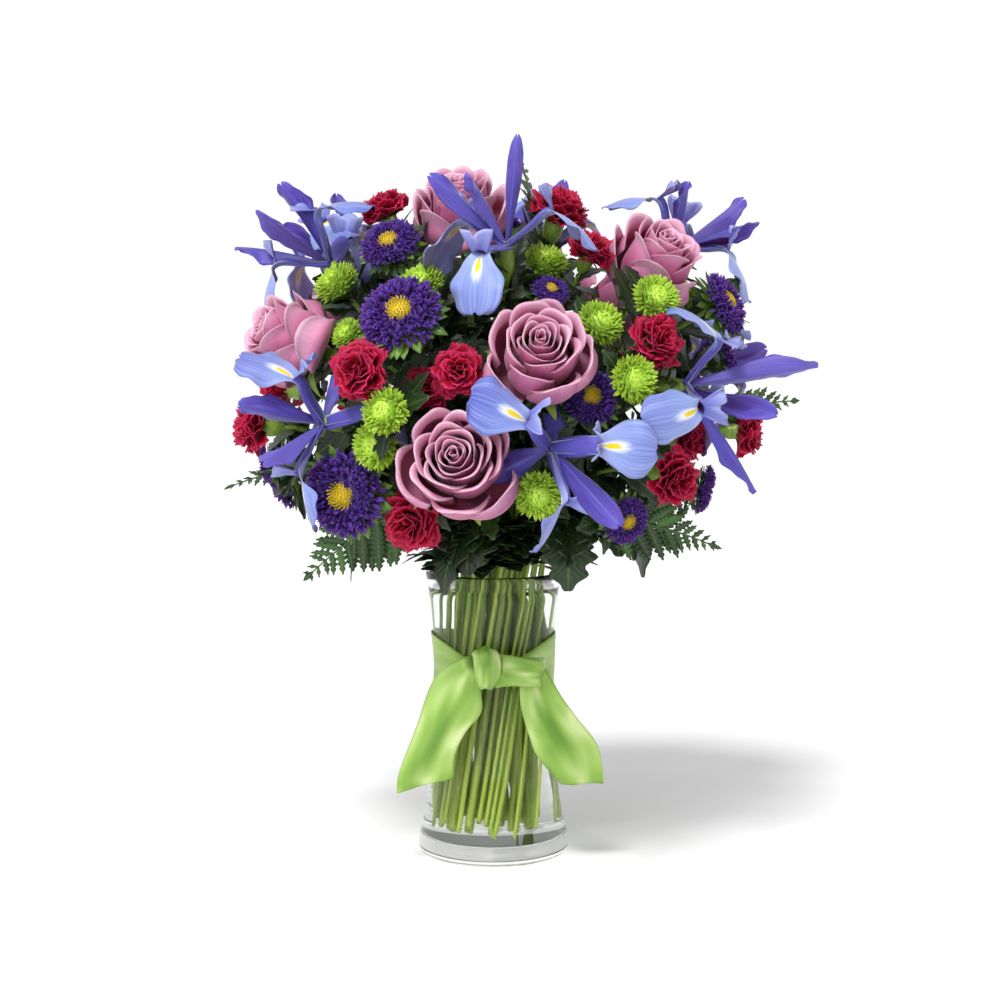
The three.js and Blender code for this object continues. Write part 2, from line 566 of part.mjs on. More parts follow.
function irisPetals(frame, bloom, grow) {
  const { falls, standards } = bloom.falls ? bloom : evenPetals(frame);
  const throat = frame.centre;
  const hanging = falls.map((fall) => {
    const [haft, blade] = [toward(fall.haft), toward(fall.blade)];
    const knee = throat.clone().addScaledVector(haft, HAFT_LENGTH);
    const curve = new THREE.CatmullRomCurve3([
      throat, throat.clone().lerp(knee, 0.55), knee,
      knee.clone().addScaledVector(blade, FALL_BLADE_LENGTH * 0.5).addScaledVector(haft, 4),
      knee.clone().addScaledVector(blade, FALL_BLADE_LENGTH),
    ], false, "centripetal");
    return { curve, side: haft.clone().cross(blade).normalize(), width: fallWidth, rings: 6 };
  });
  const standing = standards.map(({ along, length }) => {
    const way = toward(along);
    const reach = STANDARD_LENGTH * (length ?? 1);
    const curve = new THREE.QuadraticBezierCurve3(
      throat, throat.clone().addScaledVector(way, reach * 0.5).addScaledVector(frame.facing, 7),
      throat.clone().addScaledVector(way, reach),
    );
    return { curve, side: frame.facing.clone().cross(way).normalize(), width: standardWidth, rings: 4 };
  });
  return [...hanging, ...standing].map(({ curve, side, width, rings }) =>
    solid(blade(curve, side, (t) => width(t) + 2 * grow, PETAL_THICKNESS + 2 * grow, rings)));
}

// The green sheath and tube under an iris, ending in the point where its petals part.
function irisTube(frame, grow) {
  const place = new THREE.Matrix4().makeBasis(frame.right, frame.over, frame.facing).setPosition(frame.centre);
  return solid(revolved([
    [0, -30 - grow], [3.4 + grow, -29 - grow], [6 + grow, -14], [4.6 + grow, -2], [0, 5 + grow],
  ], 10).applyMatrix4(place));
}

// ---- Fronds ----
function frondFrame(frond) {
  const centre = onDome(frond.at);
  const tip = onDome(frond.tip);
  const facing = tip.clone().sub(centre).normalize();
  return { centre, base: centre, facing, tip, size: 1 };
}

function frondBlade(p, grow) {
  const { centre, tip, facing } = p.frames[0];
  const middle = centre.clone().lerp(tip, 0.5).addScaledVector(UP, centre.distanceTo(tip) * 0.12);
  const curve = new THREE.QuadraticBezierCurve3(centre, middle, tip);
  const side = facing.clone().cross(UP).normalize().applyAxisAngle(facing, radians(p.frond.roll));
  const width = (t) => (t < 0.3 ? rise(t, 0, 0.3, 0.5, 1) : rise(t, 0.3, 1.1, 1, 0.02)) * p.frond.width + 2 * grow;
  return solid(blade(curve, side, width, FROND_THICKNESS + 2 * grow, 6));
}

// ---- Putting it together ----
const plants = BOUQUET.map(plant);
packedInNeck(plants);
const strands = plants.flatMap(stemStrands);
const blooms = plants.flatMap((p) => (p.frond ? [] : p.frames.map((f) => ({
  plant: p, centre: f.centre, radius: p.kindName === "iris" ? 12 : Math.min(p.kind.radius, p.kind.depth * 0.6) * f.size,
}))));
untangle(strands, blooms);

// Each plant's tubes, heads and blades, and the same ones grown by GAP.
function layers(p, grow) {
  const tubes = strands.filter((s) => s.plant === p)
    .map((s) => solid(tube(s.points, s.radius + grow, s.fork ? 4 : 5)));
  const heads = p.frond ? [] : p.frames.map((f) => (p.kindName === "iris" ? irisTube(f, grow) : bloomSolid(p, f, grow)));
  const blades = p.frond ? [frondBlade(p, grow)]
    : p.kindName === "iris" ? p.frames.flatMap((f, i) => irisPetals(f, p.blooms[i], grow)) : [];
  return { tubes, heads, blades };
}

const made = plants.map((p) => layers(p, 0));
const cutters = plants.map((p) => layers(p, GAP));
const vase = makeVase();

const boxesMeet = (a, b) => [0, 1, 2].every((k) => a.min[k] < b.max[k] && b.min[k] < a.max[k]);
const cutBy = (piece, others) => others
  .filter((o) => boxesMeet(piece.boundingBox(), o.boundingBox()))
  .reduce((left, o) => (left.isEmpty() ? left : left.subtract(o)), piece);

// Heads give way to other stems and to the heads before them, and petals and fronds to all that they press on.
function grown(p, i) {
  const others = cutters.filter((_, k) => k !== i);
  const before = cutters.slice(0, i);
  const inTheWay = others.flatMap((c) => c.tubes);
  const heads = made[i].heads.map((h) => cutBy(h, [...inTheWay, ...before.flatMap((c) => c.heads)]));
  const hard = [...inTheWay, ...others.flatMap((c) => c.heads), ...before.flatMap((c) => c.blades), vaseCutter];
  const blades = made[i].blades.map((b) => cutBy(b, hard));
  return biggest([...heads, ...blades].reduce((all, piece) => all.add(piece), union(made[i].tubes)));
}

const union = (pieces) => pieces.slice(1).reduce((all, piece) => all.add(piece), pieces[0]);

const glass = new THREE.MeshStandardMaterial({ color: 0xe8f2f0, roughness: 0.03, metalness: 0, transparent: true, opacity: 0.35 });
const waterLook = new THREE.MeshStandardMaterial({ color: 0xe4efe9, roughness: 0.02, metalness: 0, transparent: true, opacity: 0.4 });
const satin = new THREE.MeshStandardMaterial({ color: 0x9fce42, roughness: 0.35, metalness: 0 });

const bouquet = new THREE.Group();
bouquet.add(meshOf("vase", vase, glass));
bouquet.add(meshOf("water", makeWater(cutters.flatMap((c) => [...c.tubes, ...c.blades])), waterLook));
bouquet.add(meshOf("ribbon", makeRibbon(), satin));
plants.forEach((p, i) => {
  const look = new THREE.MeshStandardMaterial({ color: p.kind.color, roughness: 0.6, metalness: 0 });
  bouquet.add(meshOf(p.name, grown(p, i), look));
});

export default bouquet;
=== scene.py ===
# %% [markdown]
# # Irises in a vase
# A hand-tied bunch of blue-violet irises, lavender roses, crimson carnations, purple asters and lime button
# mums stands in a clear gathering vase with a satin ribbon round its waist. The frame from the CAD part holds
# the place of every stem, head, petal and frond, so each piece here is grown on the line that its CAD solid has.

# %% Tools
import collections
import heapq
import itertools
import json
import math
import random

import bmesh
import bpy
import numpy as np
from mathutils import Matrix, Vector

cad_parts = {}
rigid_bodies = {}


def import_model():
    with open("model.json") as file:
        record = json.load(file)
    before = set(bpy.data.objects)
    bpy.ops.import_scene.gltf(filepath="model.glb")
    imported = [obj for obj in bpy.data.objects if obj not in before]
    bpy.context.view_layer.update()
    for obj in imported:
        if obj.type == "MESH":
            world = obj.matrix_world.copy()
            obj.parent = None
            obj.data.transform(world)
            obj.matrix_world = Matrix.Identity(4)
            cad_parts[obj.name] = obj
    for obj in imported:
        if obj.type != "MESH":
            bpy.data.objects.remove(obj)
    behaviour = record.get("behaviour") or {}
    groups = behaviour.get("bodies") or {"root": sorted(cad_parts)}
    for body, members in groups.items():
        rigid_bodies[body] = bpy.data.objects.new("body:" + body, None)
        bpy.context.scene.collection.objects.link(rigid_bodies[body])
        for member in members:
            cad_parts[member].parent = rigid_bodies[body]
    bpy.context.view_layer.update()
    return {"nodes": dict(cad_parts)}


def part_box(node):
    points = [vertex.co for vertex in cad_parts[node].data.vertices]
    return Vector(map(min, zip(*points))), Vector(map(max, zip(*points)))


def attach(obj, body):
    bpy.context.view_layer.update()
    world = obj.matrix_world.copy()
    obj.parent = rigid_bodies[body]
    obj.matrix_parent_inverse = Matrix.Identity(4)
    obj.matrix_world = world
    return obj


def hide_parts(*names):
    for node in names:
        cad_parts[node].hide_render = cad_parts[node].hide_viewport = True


MM = 0.001
GOLDEN = math.radians(137.5)

# %% [markdown]
# ## The frame
# The imported model is loaded once and never changed. The finished bouquet has to stay inside it. The nodes are
# grouped by the flower that they are, from their names.

# %% Load the frame
for leftover in list(bpy.data.objects):
    bpy.data.objects.remove(leftover)
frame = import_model()
NODES = frame["nodes"]
PLANTS = ["rose", "iris", "carnation", "aster", "mum", "fern", "leaf"]
PLANT_NODES = {kind: sorted(n for n in NODES if n.startswith(kind + "_")) for kind in PLANTS}
print("plants:", {kind: len(names) for kind, names in PLANT_NODES.items()})

# %% [markdown]
# ## Reading the frame
# A node's mesh is loose triangles, so a copy of it is merged before it is read. Three things are read from it:
# the line of each stem, the base and the facing of each flower head, and the cross-sections of each blade.
# They could be typed in again, but then the looks would drift from the solids when the CAD part changes.

# %% A merged copy of a node
def merged_copy(node):
    bm = bmesh.new()
    bm.from_mesh(NODES[node].data)
    bmesh.ops.remove_doubles(bm, verts=bm.verts, dist=1e-6)
    bm.normal_update()
    bm.verts.index_update()
    return bm


def middle_of(points):
    return sum(points, Vector()) / len(points)


# %% [markdown]
# A head in the CAD part is turned round ten sides, so its crown is one vertex with ten even spokes. The length of
# a spoke gives the head's radius, and the plane of the ring gives the way that it faces.

# %% Heads of roses, carnations, asters and mums
# For each kind: a spoke's share of the radius, the depth in radii, and the crown's height as a share of the depth.
HEADS = {"rose": (0.408, 1.333, 0.94), "carnation": (0.6228, 1.478, 1.0),
         "aster": (0.663, 0.704, 0.86), "mum": (0.6253, 1.353, 1.0)}


def heads_of(bm, kind):
    share, deep, crown = HEADS[kind]
    found = []
    for v in bm.verts:
        spokes = sorted((e.other_vert(v).co - v.co for e in v.link_edges), key=lambda s: s.length)
        if len(spokes) < 10:
            continue
        usual = spokes[len(spokes) // 2].length
        even = [s for s in spokes if abs(s.length - usual) < 0.01 * usual]
        if len(even) < 9 or usual < 6 * MM:
            continue
        hub = middle_of(even)
        facing = Vector(np.linalg.svd(np.array([s - hub for s in even]))[2][2]).normalized()
        if facing.dot(v.normal) < 0:
            facing.negate()
        radius = usual / share
        found.append((v.co - facing * radius * deep * crown, facing, radius))
    return found


# %% [markdown]
# A stem's cross-sections are small rings of vertices. Vertices that short edges join are one ring, the middle of a
# ring lies on the stem's line, and the shortest way over the rings from the foot to a head is that head's stem.

# %% Stem lines
STEM_RADIUS = {"rose": 3.2, "iris": 3.2, "carnation": 2.2, "aster": 2.0, "mum": 2.0, "fern": 1.5, "leaf": 1.5}


def rings_of(bm, near):
    group, middles = {}, []
    for v in bm.verts:
        if v in group:
            continue
        group[v] = len(middles)
        waiting, members = [v], []
        while waiting:
            at = waiting.pop()
            members.append(at.co)
            for e in at.link_edges:
                other = e.other_vert(at)
                if other not in group and e.calc_length() < near:
                    group[other] = len(middles)
                    waiting.append(other)
        middles.append((middle_of(members), len(members)))
    links = [set() for _ in middles]
    for e in bm.edges:
        a, b = (group[v] for v in e.verts)
        if a != b:
            links[a].add(b)
            links[b].add(a)
    return middles, links


def shortest_way(middles, links, start, end):
    best, came, heap = {start: 0.0}, {}, [(0.0, start)]
    while heap:
        cost, at = heapq.heappop(heap)
        if at == end:
            break
        for other in links[at]:
            further = cost + (middles[other][0] - middles[at][0]).length
            if further < best.get(other, 1e9):
                best[other], came[other] = further, at
                heapq.heappush(heap, (further, other))
    path = [end]
    while path[-1] != start:
        path.append(came[path[-1]])
    return path[::-1]


def stem_to(bm, kind, target):
    middles, links = rings_of(bm, STEM_RADIUS[kind] * 1.38 * MM)
    foot = min((i for i, m in enumerate(middles) if m[1] >= 3), key=lambda i: middles[i][0].z)
    end = min(range(len(middles)), key=lambda i: (middles[i][0] - target).length)
    way = shortest_way(middles, links, foot, end)
    return [middles[i][0] for i in way], [middles[i][1] for i in way]


# %% [markdown]
# A petal or frond in the CAD part is a thin four-sided blade. Across it two vertices face each other one wall
# apart, and both touch the blade's two edges: those four are one cross-section, with its middle, side and width.

# %% Blade cross-sections
def in_order(verts):
    """A set of vertices has no order of its own, so it is sorted, and every run reads the same cross-sections."""
    return sorted(verts, key=lambda v: v.index)


def sections_of(bm, thickness):
    around = {v: {e.other_vert(v) for e in v.link_edges} for v in bm.verts}
    found = []
    for a in bm.verts:
        for b in in_order({o for n in around[a] for o in around[n]}):
            if b.index <= a.index or b in around[a] or abs((a.co - b.co).length - thickness) > 0.03 * MM:
                continue
            middle = (a.co + b.co) / 2
            for left, right in itertools.combinations(in_order(around[a] & around[b]), 2):
                if ((left.co + right.co) / 2 - middle).length < 0.05 * MM:
                    found.append((middle, right.co - left.co))
    return found


# %% Read every plant
Head = collections.namedtuple("Head", "base facing radius stem")


def stem_and_heads(kind, node):
    bm = merged_copy(node)
    heads = []
    for base, facing, radius in heads_of(bm, kind):
        line = stem_to(bm, kind, base)[0]
        heads.append(Head(base, facing, radius, line[:-1] + [base]))
    bm.free()
    return heads


HEAD_DATA = {n: stem_and_heads(kind, n) for kind in HEADS for n in PLANT_NODES[kind]}
print("heads:", {kind: sum(len(HEAD_DATA[n]) for n in PLANT_NODES[kind]) for kind in HEADS})

# %% [markdown]
# ## Making petals and pieces
# Almost everything that grows here is a thin curved sheet. A grid is the operator for that: its vertices are
# moved to where a petal's shape puts them, its UV map keeps running across and along the petal, and a Solidify
# modifier gives it its wall. Two numbers are kept on each vertex for the materials: how far out in the flower the
# petal sits, and a chance value that lets no two petals have quite the same colour.

# %% Sheets
def new_mesh():
    bm = bmesh.new()
    bm.loops.layers.uv.verify()
    bm.verts.layers.float.new("chance")
    bm.verts.layers.float.new("layer")
    return bm


def sheet(bm, columns, rows, place, chance=0.5, layer=0.5):
    """A grid with u from -1 to 1 across and v from 0 to 1 along, bent so that each vertex is at place(u, v)."""
    made = bmesh.ops.create_grid(bm, x_segments=columns, y_segments=rows, size=1, calc_uvs=True)["verts"]
    chances, layers = bm.verts.layers.float["chance"], bm.verts.layers.float["layer"]
    for v in made:
        v.co = place(v.co.x, (v.co.y + 1) / 2)
        v[chances], v[layers] = chance, layer
    return made


def smoothly(x, low, high):
    t = min(max((x - low) / (high - low), 0.0), 1.0)
    return t * t * (3 - 2 * t)


def direction(turn, lift):
    """A way in space: turn is measured from the front towards the right, and lift from level, in degrees."""
    t, l = math.radians(turn), math.radians(lift)
    return Vector((math.cos(l) * math.sin(t), -math.cos(l) * math.cos(t), math.sin(l)))


def square_to(facing, hint=Vector((0, 0, 1))):
    """Two directions square to facing and to each other."""
    right = hint.cross(facing)
    if right.length < 1e-3:
        right = Vector((1, 0, 0)).cross(facing)
    right.normalize()
    return right, facing.cross(right)


def spoke(right, over, turn):
    return right * math.cos(turn) + over * math.sin(turn)


def through(points, t):
    """A smooth line through the points: its place at t, from 0 to 1."""
    spans = len(points) - 1
    i = min(int(max(t, 0.0) * spans), spans - 1)
    f = t * spans - i
    a, b, c, d = points[max(i - 1, 0)], points[i], points[i + 1], points[min(i + 2, spans)]
    return 0.5 * (2 * b + (c - a) * f + (2 * a - 5 * b + 4 * c - d) * f ** 2 + (3 * b - a - 3 * c + d) * f ** 3)


# %% [markdown]
# Small parts such as florets, bracts, pinnae and leaves share one shape: a strip that leaves its root in one
# direction, bends evenly towards or away from its upper side, and has an outline and a hollow across it.

# %% Strips
def lance(v):
    return math.sin(math.pi * min(v * 0.93 + 0.07, 1.0)) ** 0.8


def spoon(v):
    return 0.55 + 0.45 * math.sin(math.pi * v ** 1.5) if v < 0.9 else 0.5 * math.sqrt(max(1 - v, 0) / 0.1) + 0.12


def strip(bm, root, along, up, length, width, bend=0.0, cup=0.0, outline=lance, columns=2, rows=4,
          chance=0.5, layer=0.5, twist=0.0):
    along = along.normalized()
    up = (up - along * up.dot(along)).normalized()
    side = along.cross(up)
    bend = bend if abs(bend) > 1e-3 else 1e-3

    def place(u, v):
        turn = bend * v
        middle = root + (along * math.sin(turn) + up * (1 - math.cos(turn))) * (length / bend)
        normal = up * math.cos(turn) - along * math.sin(turn)
        w = width / 2 * outline(v)
        c, s = math.cos(twist * v), math.sin(twist * v)
        across, rise = side * c + normal * s, normal * c - side * s
        return middle + across * (u * w) + rise * (cup * w * u * u)

    return sheet(bm, columns, rows, place, chance, layer)


# %% [markdown]
# A stem is a tube round its line. A grid that is rolled up and merged along its seam and at its two ends is a
# closed tube, and its radius may change along the way.

# %% Tubes
def tube(bm, points, radius, sides=8, rows=24, chance=0.5, layer=0.5, slant=0.0):
    """radius(t) in metres. The first and last rows shrink to a point and close the ends; slant cuts the first one."""
    first = (through(points, 0.01) - points[0]).normalized()
    guide = square_to(first, Vector((0.31, 0.95, 0.05)))[0]

    def place(u, v):
        row = round(v * (rows + 2))
        t = min(max((row - 1) / rows, 0.0), 1.0)
        here = through(points, t)
        if row in (0, rows + 2):
            return here
        ahead = (through(points, min(t + 0.01, 1)) - through(points, max(t - 0.01, 0))).normalized()
        right, over = square_to(ahead, guide)
        angle, size = math.pi * u, radius(t)
        cut = ahead * (slant * size * math.cos(angle)) if row == 1 else Vector()
        return here + (right * math.cos(angle) + over * math.sin(angle)) * size + cut

    made = sheet(bm, sides, rows + 2, place, chance, layer)
    bmesh.ops.remove_doubles(bm, verts=made, dist=1e-6)


# %% Pieces
scene = bpy.context.scene


def in_scene(name, data):
    made = bpy.data.objects.new(name, data)
    scene.collection.objects.link(made)
    return made


def new_piece(name, bm, look, slot, stands_for=(), wall=None):
    mesh = bpy.data.meshes.new(name)
    bm.to_mesh(mesh)
    bm.free()
    mesh.materials.append(look)
    mesh.shade_smooth()
    piece = in_scene(name, mesh)
    if wall:
        made = piece.modifiers.new("wall", "SOLIDIFY")
        made.thickness, made.offset = wall, 0
    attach(piece, "root")
    if stands_for:
        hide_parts(*stands_for)
    return piece


# %% [markdown]
# ## Materials
# Colours are sRGB hex values that one function turns to linear. One small function adds a node with its settings
# and its links. A material that follows a petal reads the petal's own UV map, and one that doesn't reads object
# coordinates, in metres, so that a pattern's scale is one over its real size.

# %% Colour and nodes
def colour(code):
    parts = [int(code[i:i + 2], 16) / 255 for i in (1, 3, 5)]
    return [c / 12.92 if c <= 0.04045 else ((c + 0.055) / 1.055) ** 2.4 for c in parts] + [1.0]


def add(tree, kind, inputs=None, stops=None, **settings):
    """A node of that kind. inputs gives each socket a value or another node's output; stops are a ramp's colours."""
    made = tree.nodes.new("ShaderNode" + kind)
    for name, value in settings.items():
        setattr(made, name, value)
    for at, (place, code) in enumerate(stops or []):
        stop = made.color_ramp.elements[at] if at < 2 else made.color_ramp.elements.new(place)
        stop.position, stop.color = place, colour(code)
    for name, value in (inputs or {}).items():
        if isinstance(value, bpy.types.NodeSocket):
            tree.links.new(value, made.inputs[name])
        else:
            made.inputs[name].default_value = value
    return made


def new_look(name, **constants):
    """A material with one Principled shader, whose all-over values are set on its own sockets."""
    look = bpy.data.materials.new(name)
    look.use_nodes = True
    tree = look.node_tree
    shader = tree.nodes["Principled BSDF"]
    for key, value in constants.items():
        shader.inputs[key.replace("_", " ")].default_value = value
    return look, tree, shader


def mixed(tree, share, a, b):
    b = colour(b) if isinstance(b, str) else b
    return add(tree, "Mix", {0: share, 6: a, 7: b}, data_type="RGBA", blend_type="MIX").outputs[2]


def ramp(tree, share, stops):
    return add(tree, "ValToRGB", {"Fac": share}, stops=stops).outputs["Color"]


def maths(tree, operation, *values):
    return add(tree, "Math", dict(enumerate(values)), operation=operation).outputs[0]


def ranged(tree, value, **ends):
    """The value carried from one range to another; the ends are from_min, from_max, to_min and to_max."""
    sockets = {end.replace("_", " ").title(): number for end, number in ends.items()}
    return add(tree, "MapRange", {"Value": value, **sockets}).outputs["Result"]


def noise(tree, where, scale, detail, **more):
    return add(tree, "TexNoise", {"Vector": where, "Scale": scale, "Detail": detail, **more}).outputs["Fac"]


def stretched(tree, where, *scale, **more):
    return add(tree, "Mapping", {"Vector": where, "Scale": scale, **more}).outputs["Vector"]


def kept_on_petal(tree, name):
    return add(tree, "Attribute", attribute_name=name).outputs["Fac"]


def surface(tree, shader, base, height, strength, distance):
    """The last nodes of a look: its colour, and a bump whose distance is the height of the pattern in metres."""
    bump = add(tree, "Bump", {"Height": height, "Strength": strength, "Distance": distance}).outputs["Normal"]
    tree.links.new(base, shader.inputs["Base Color"])
    tree.links.new(bump, shader.inputs["Normal"])


# %% [markdown]
# ### Petals
# A petal is a few layers of soft cells under a waxy skin: matt, a little velvety, and thin enough that light
# comes through. All petal looks share the same build: colours from base to rim, colour changes from petal to
# petal, fine veins that run along the petal as both colour and bump, and some light scattered under the skin.

# %% Petal looks
def petal_look(name, along_stops, deep, pale, veins, vein_scale=30.0, **constants):
    """along_stops colour the petal from its dark base to its rim, deep is the darker colour of its veins and of darker
    petals, and pale is painted light that the petal's layer mixes in.
    """
    settings = {"Roughness": 0.5, "Sheen_Weight": 0.25, "Sheen_Roughness": 0.4, "Subsurface_Weight": 0.12,
                "Subsurface_Scale": 0.004, "Specular_IOR_Level": 0.35, **constants}
    look, tree, shader = new_look(name, **settings)
    uv = add(tree, "TexCoord").outputs["UV"]
    split = add(tree, "SeparateXYZ", {"Vector": uv})
    chance = kept_on_petal(tree, "chance")
    layer = kept_on_petal(tree, "layer")
    # Veins run the petal's length, so the noise is squeezed across it and drawn out along it.
    lengthwise = stretched(tree, uv, vein_scale, 2.2, 1.0)
    vein = noise(tree, lengthwise, 1.0, 3.0, Roughness=0.6)
    blotch = noise(tree, uv, 2.5, 2.0)
    wobble = ranged(tree, blotch, to_min=-0.12, to_max=0.12)
    height = maths(tree, "ADD", split.outputs["Y"], wobble)
    # The ramp's dark base is partly the petal's own colour and partly painted shade deep in the flower, and its pale
    # rim partly painted light.
    base = ramp(tree, height, along_stops)
    chancy = ranged(tree, chance, to_min=0.0, to_max=0.4)
    varied = mixed(tree, chancy, base, deep)
    # Painted light: the higher a petal's layer, the more it is mixed toward the pale colour.
    painted_light_share = ranged(tree, layer, from_min=0.4, to_min=0.0, to_max=0.22)
    varied = mixed(tree, painted_light_share, varied, pale)
    vein_share = ranged(tree, vein, from_min=0.5, from_max=0.75, to_max=veins)
    veined = mixed(tree, vein_share, varied, deep)
    surface(tree, shader, veined, vein, 0.35, 0.0004)
    return look, tree, shader


# The dark first stops of these ramps are partly painted shade deep in each flower, the pale last stops partly painted
# light, and each pale colour is painted light.
ROSE_PETAL = petal_look("rose petal", [(0.0, "#58102f"), (1.0, "#f3c6da"), (0.45, "#a03564"), (0.68, "#cb6f9a"),
                                       (0.84, "#e09dbd")], "#a8487c", "#e6b4cc", 0.3)[0]
CARNATION_PETAL = petal_look("carnation petal", [(0.0, "#2c0008"), (1.0, "#d02868"), (0.5, "#5c0014"),
                                                 (0.82, "#a80424"), (0.93, "#b80a38")],
                             "#6a0018", "#b81848", 0.35, 16.0, Sheen_Weight=0.05, Specular_IOR_Level=0.25)[0]
STANDARD_PETAL = petal_look("iris standard", [(0.0, "#241c6a"), (1.0, "#544eb4"), (0.5, "#332b8c"), (0.85, "#423aa0")],
                            "#7f79d2", "#544eb4", 0.5, 26.0, Sheen_Weight=0.15)[0]
STYLE_ARM = petal_look("iris style arm", [(0.0, "#443a98"), (1.0, "#aab6ea"), (0.6, "#5650b0"), (0.8, "#7c84d0")],
                       "#3e3590", "#a0acec", 0.5, 16.0, Sheen_Weight=0.15)[0]
ASTER_FLORET = petal_look("aster ray floret", [(0.0, "#1c0840"), (1.0, "#6d44b4"), (0.5, "#371474"), (0.85, "#4c2296")],
                          "#2a0c5a", "#7a55c0", 0.3, 6.0, Sheen_Weight=0.1)[0]
DISC_FLORET = petal_look("aster disc floret", [(0.0, "#7c7a0c"), (1.0, "#f2d020"), (0.5, "#d0b010")],
                         "#b89208", "#f4dc40", 0.2, 4.0)[0]
MUM_FLORET = petal_look("button mum floret", [(0.0, "#4c7a14"), (1.0, "#d2ea5c"), (0.5, "#93c030"), (0.85, "#b6d844")],
                        "#9cc43a", "#d4ee66", 0.2, 5.0, Sheen_Weight=0.1)[0]
print("petal looks made")

# %% [markdown]
# ### The iris fall
# A fall is lavender blue with light and dark veins that fan out over its blade. A yellow signal with a white
# border sits where the petal turns down, and the narrow haft behind it is olive and violet. All of it follows the
# UV map.

# %% Fall look
def fall_look():
    look, tree, shader = new_look("iris fall", Roughness=0.5, Sheen_Weight=0.25, Sheen_Roughness=0.4,
                                  Subsurface_Weight=0.12, Subsurface_Scale=0.004, Specular_IOR_Level=0.35)
    uv = add(tree, "TexCoord").outputs["UV"]
    split = add(tree, "SeparateXYZ", {"Vector": uv})
    blotch = noise(tree, uv, 3.0, 3.0)
    wobble = ranged(tree, blotch, to_min=-0.06, to_max=0.06)
    height = maths(tree, "ADD", split.outputs["Y"], wobble)
    base = ramp(tree, height, [(0.0, "#6a7a3c"), (1.0, "#4353ac"), (0.3, "#5a54a6"), (0.46, "#98a8de"),
                               (0.62, "#778bce"), (0.85, "#596cc0")])
    lengthwise = stretched(tree, uv, 58.0, 1.6, 1.0)
    vein = noise(tree, lengthwise, 1.0, 2.0, Distortion=0.3)
    vein_share = ranged(tree, vein, from_min=0.52, from_max=0.68, to_max=0.45)
    chance = kept_on_petal(tree, "chance")
    paler = mixed(tree, ranged(tree, chance, to_max=0.35), base, "#b4c4f0")
    lit = mixed(tree, vein_share, paler, "#b9c6f0")
    dark_share = ranged(tree, vein, from_min=0.46, from_max=0.34, to_max=0.35)
    veined = mixed(tree, dark_share, lit, "#4650a8")
    # The signal is an ellipse about the turn of the petal: distance from its middle, then two thresholds.
    centred = stretched(tree, uv, 7.8, 8.2, 0.0, Location=(-3.9, -4.7, 0.0))
    far = add(tree, "VectorMath", {0: centred}, operation="LENGTH").outputs["Value"]
    ragged = maths(tree, "ADD", far, vein)
    white = ranged(tree, ragged, from_min=1.15, from_max=1.75, to_min=1.0, to_max=0.0)
    yellow = ranged(tree, ragged, from_min=0.95, from_max=1.2, to_min=1.0, to_max=0.0)
    bordered = mixed(tree, white, veined, "#eef0fa")
    signal = mixed(tree, yellow, bordered, "#f2cf10")
    surface(tree, shader, signal, vein, 0.25, 0.0003)
    return look


FALL_PETAL = fall_look()

# %% [markdown]
# ### Greens
# Leaves have a waxy skin with a sharper gloss than petals, a paler midrib, and side veins. Stems are smooth and
# streaked along their length; under water they are painted lighter and yellower, as painted light on the stems in the
# glass.

# %% Green looks
def leaf_look(name, dark, mid, light, **constants):
    look, tree, shader = new_look(name, Roughness=0.42, Specular_IOR_Level=0.5, Subsurface_Weight=0.06,
                                  Subsurface_Scale=0.002, **constants)
    uv = add(tree, "TexCoord").outputs["UV"]
    split = add(tree, "SeparateXYZ", {"Vector": uv})
    chance = kept_on_petal(tree, "chance")
    off_middle = maths(tree, "SUBTRACT", split.outputs["X"], 0.5)
    distance = maths(tree, "ABSOLUTE", off_middle)
    midrib = ranged(tree, distance, from_max=0.06, to_min=0.7, to_max=0.0)
    # Side veins leave the midrib at a slant: bands of v plus the distance from the middle.
    slant = maths(tree, "MULTIPLY_ADD", distance, -0.55, split.outputs["Y"])
    bands = maths(tree, "MULTIPLY", slant, 60.0)
    wave = maths(tree, "SINE", bands)
    side_vein = ranged(tree, wave, from_min=0.8, to_max=0.35)
    tone = ramp(tree, chance, [(0.0, dark), (1.0, light), (0.55, mid)])
    blotch = noise(tree, uv, 5.0, 3.0)
    toned = mixed(tree, ranged(tree, blotch, to_max=0.5), tone, dark)
    veined = mixed(tree, side_vein, toned, light)
    ribbed = mixed(tree, midrib, veined, light)
    surface(tree, shader, ribbed, wave, 0.25, 0.0004)
    return look


def stem_look():
    look, tree, shader = new_look("flower stem", Roughness=0.38, Specular_IOR_Level=0.5, Subsurface_Weight=0.08,
                                  Subsurface_Scale=0.002)
    place = add(tree, "TexCoord").outputs["Object"]
    chance = kept_on_petal(tree, "chance")
    # Streaks of 1.5 mm across and 40 mm along, because a stem's fibres run its whole length.
    streaks = stretched(tree, place, 650.0, 650.0, 25.0)
    streak = noise(tree, streaks, 1.0, 3.0)
    tone = ramp(tree, chance, [(0.0, "#3d6420"), (1.0, "#8faa34"), (0.5, "#64902c")])
    share = ranged(tree, streak, from_min=0.35, from_max=0.7, to_max=0.7)
    streaked = mixed(tree, share, tone, "#a3b453")
    height = add(tree, "SeparateXYZ", {"Vector": place}).outputs["Z"]
    # Painted light: below 190 mm the stems are mixed toward a lighter yellow-green.
    underwater_painted_light = ranged(tree, height, from_min=0.03, from_max=0.19, to_min=0.4, to_max=0.0)
    stem_with_painted_light = mixed(tree, underwater_painted_light, streaked, "#b2c248")
    surface(tree, shader, stem_with_painted_light, streak, 0.3, 0.0003)
    return look


# The leaf greens are very dark: partly the leaves' own colour and partly painted shade inside the bunch.
LEAF = leaf_look("chrysanthemum leaf", "#101f0b", "#223d15", "#4e7230")
BRACT = leaf_look("aster bract", "#33521c", "#4f7a28", "#7fa53e")
FERN = leaf_look("leatherleaf fern", "#18300f", "#2c501f", "#54803a")
STEM = stem_look()
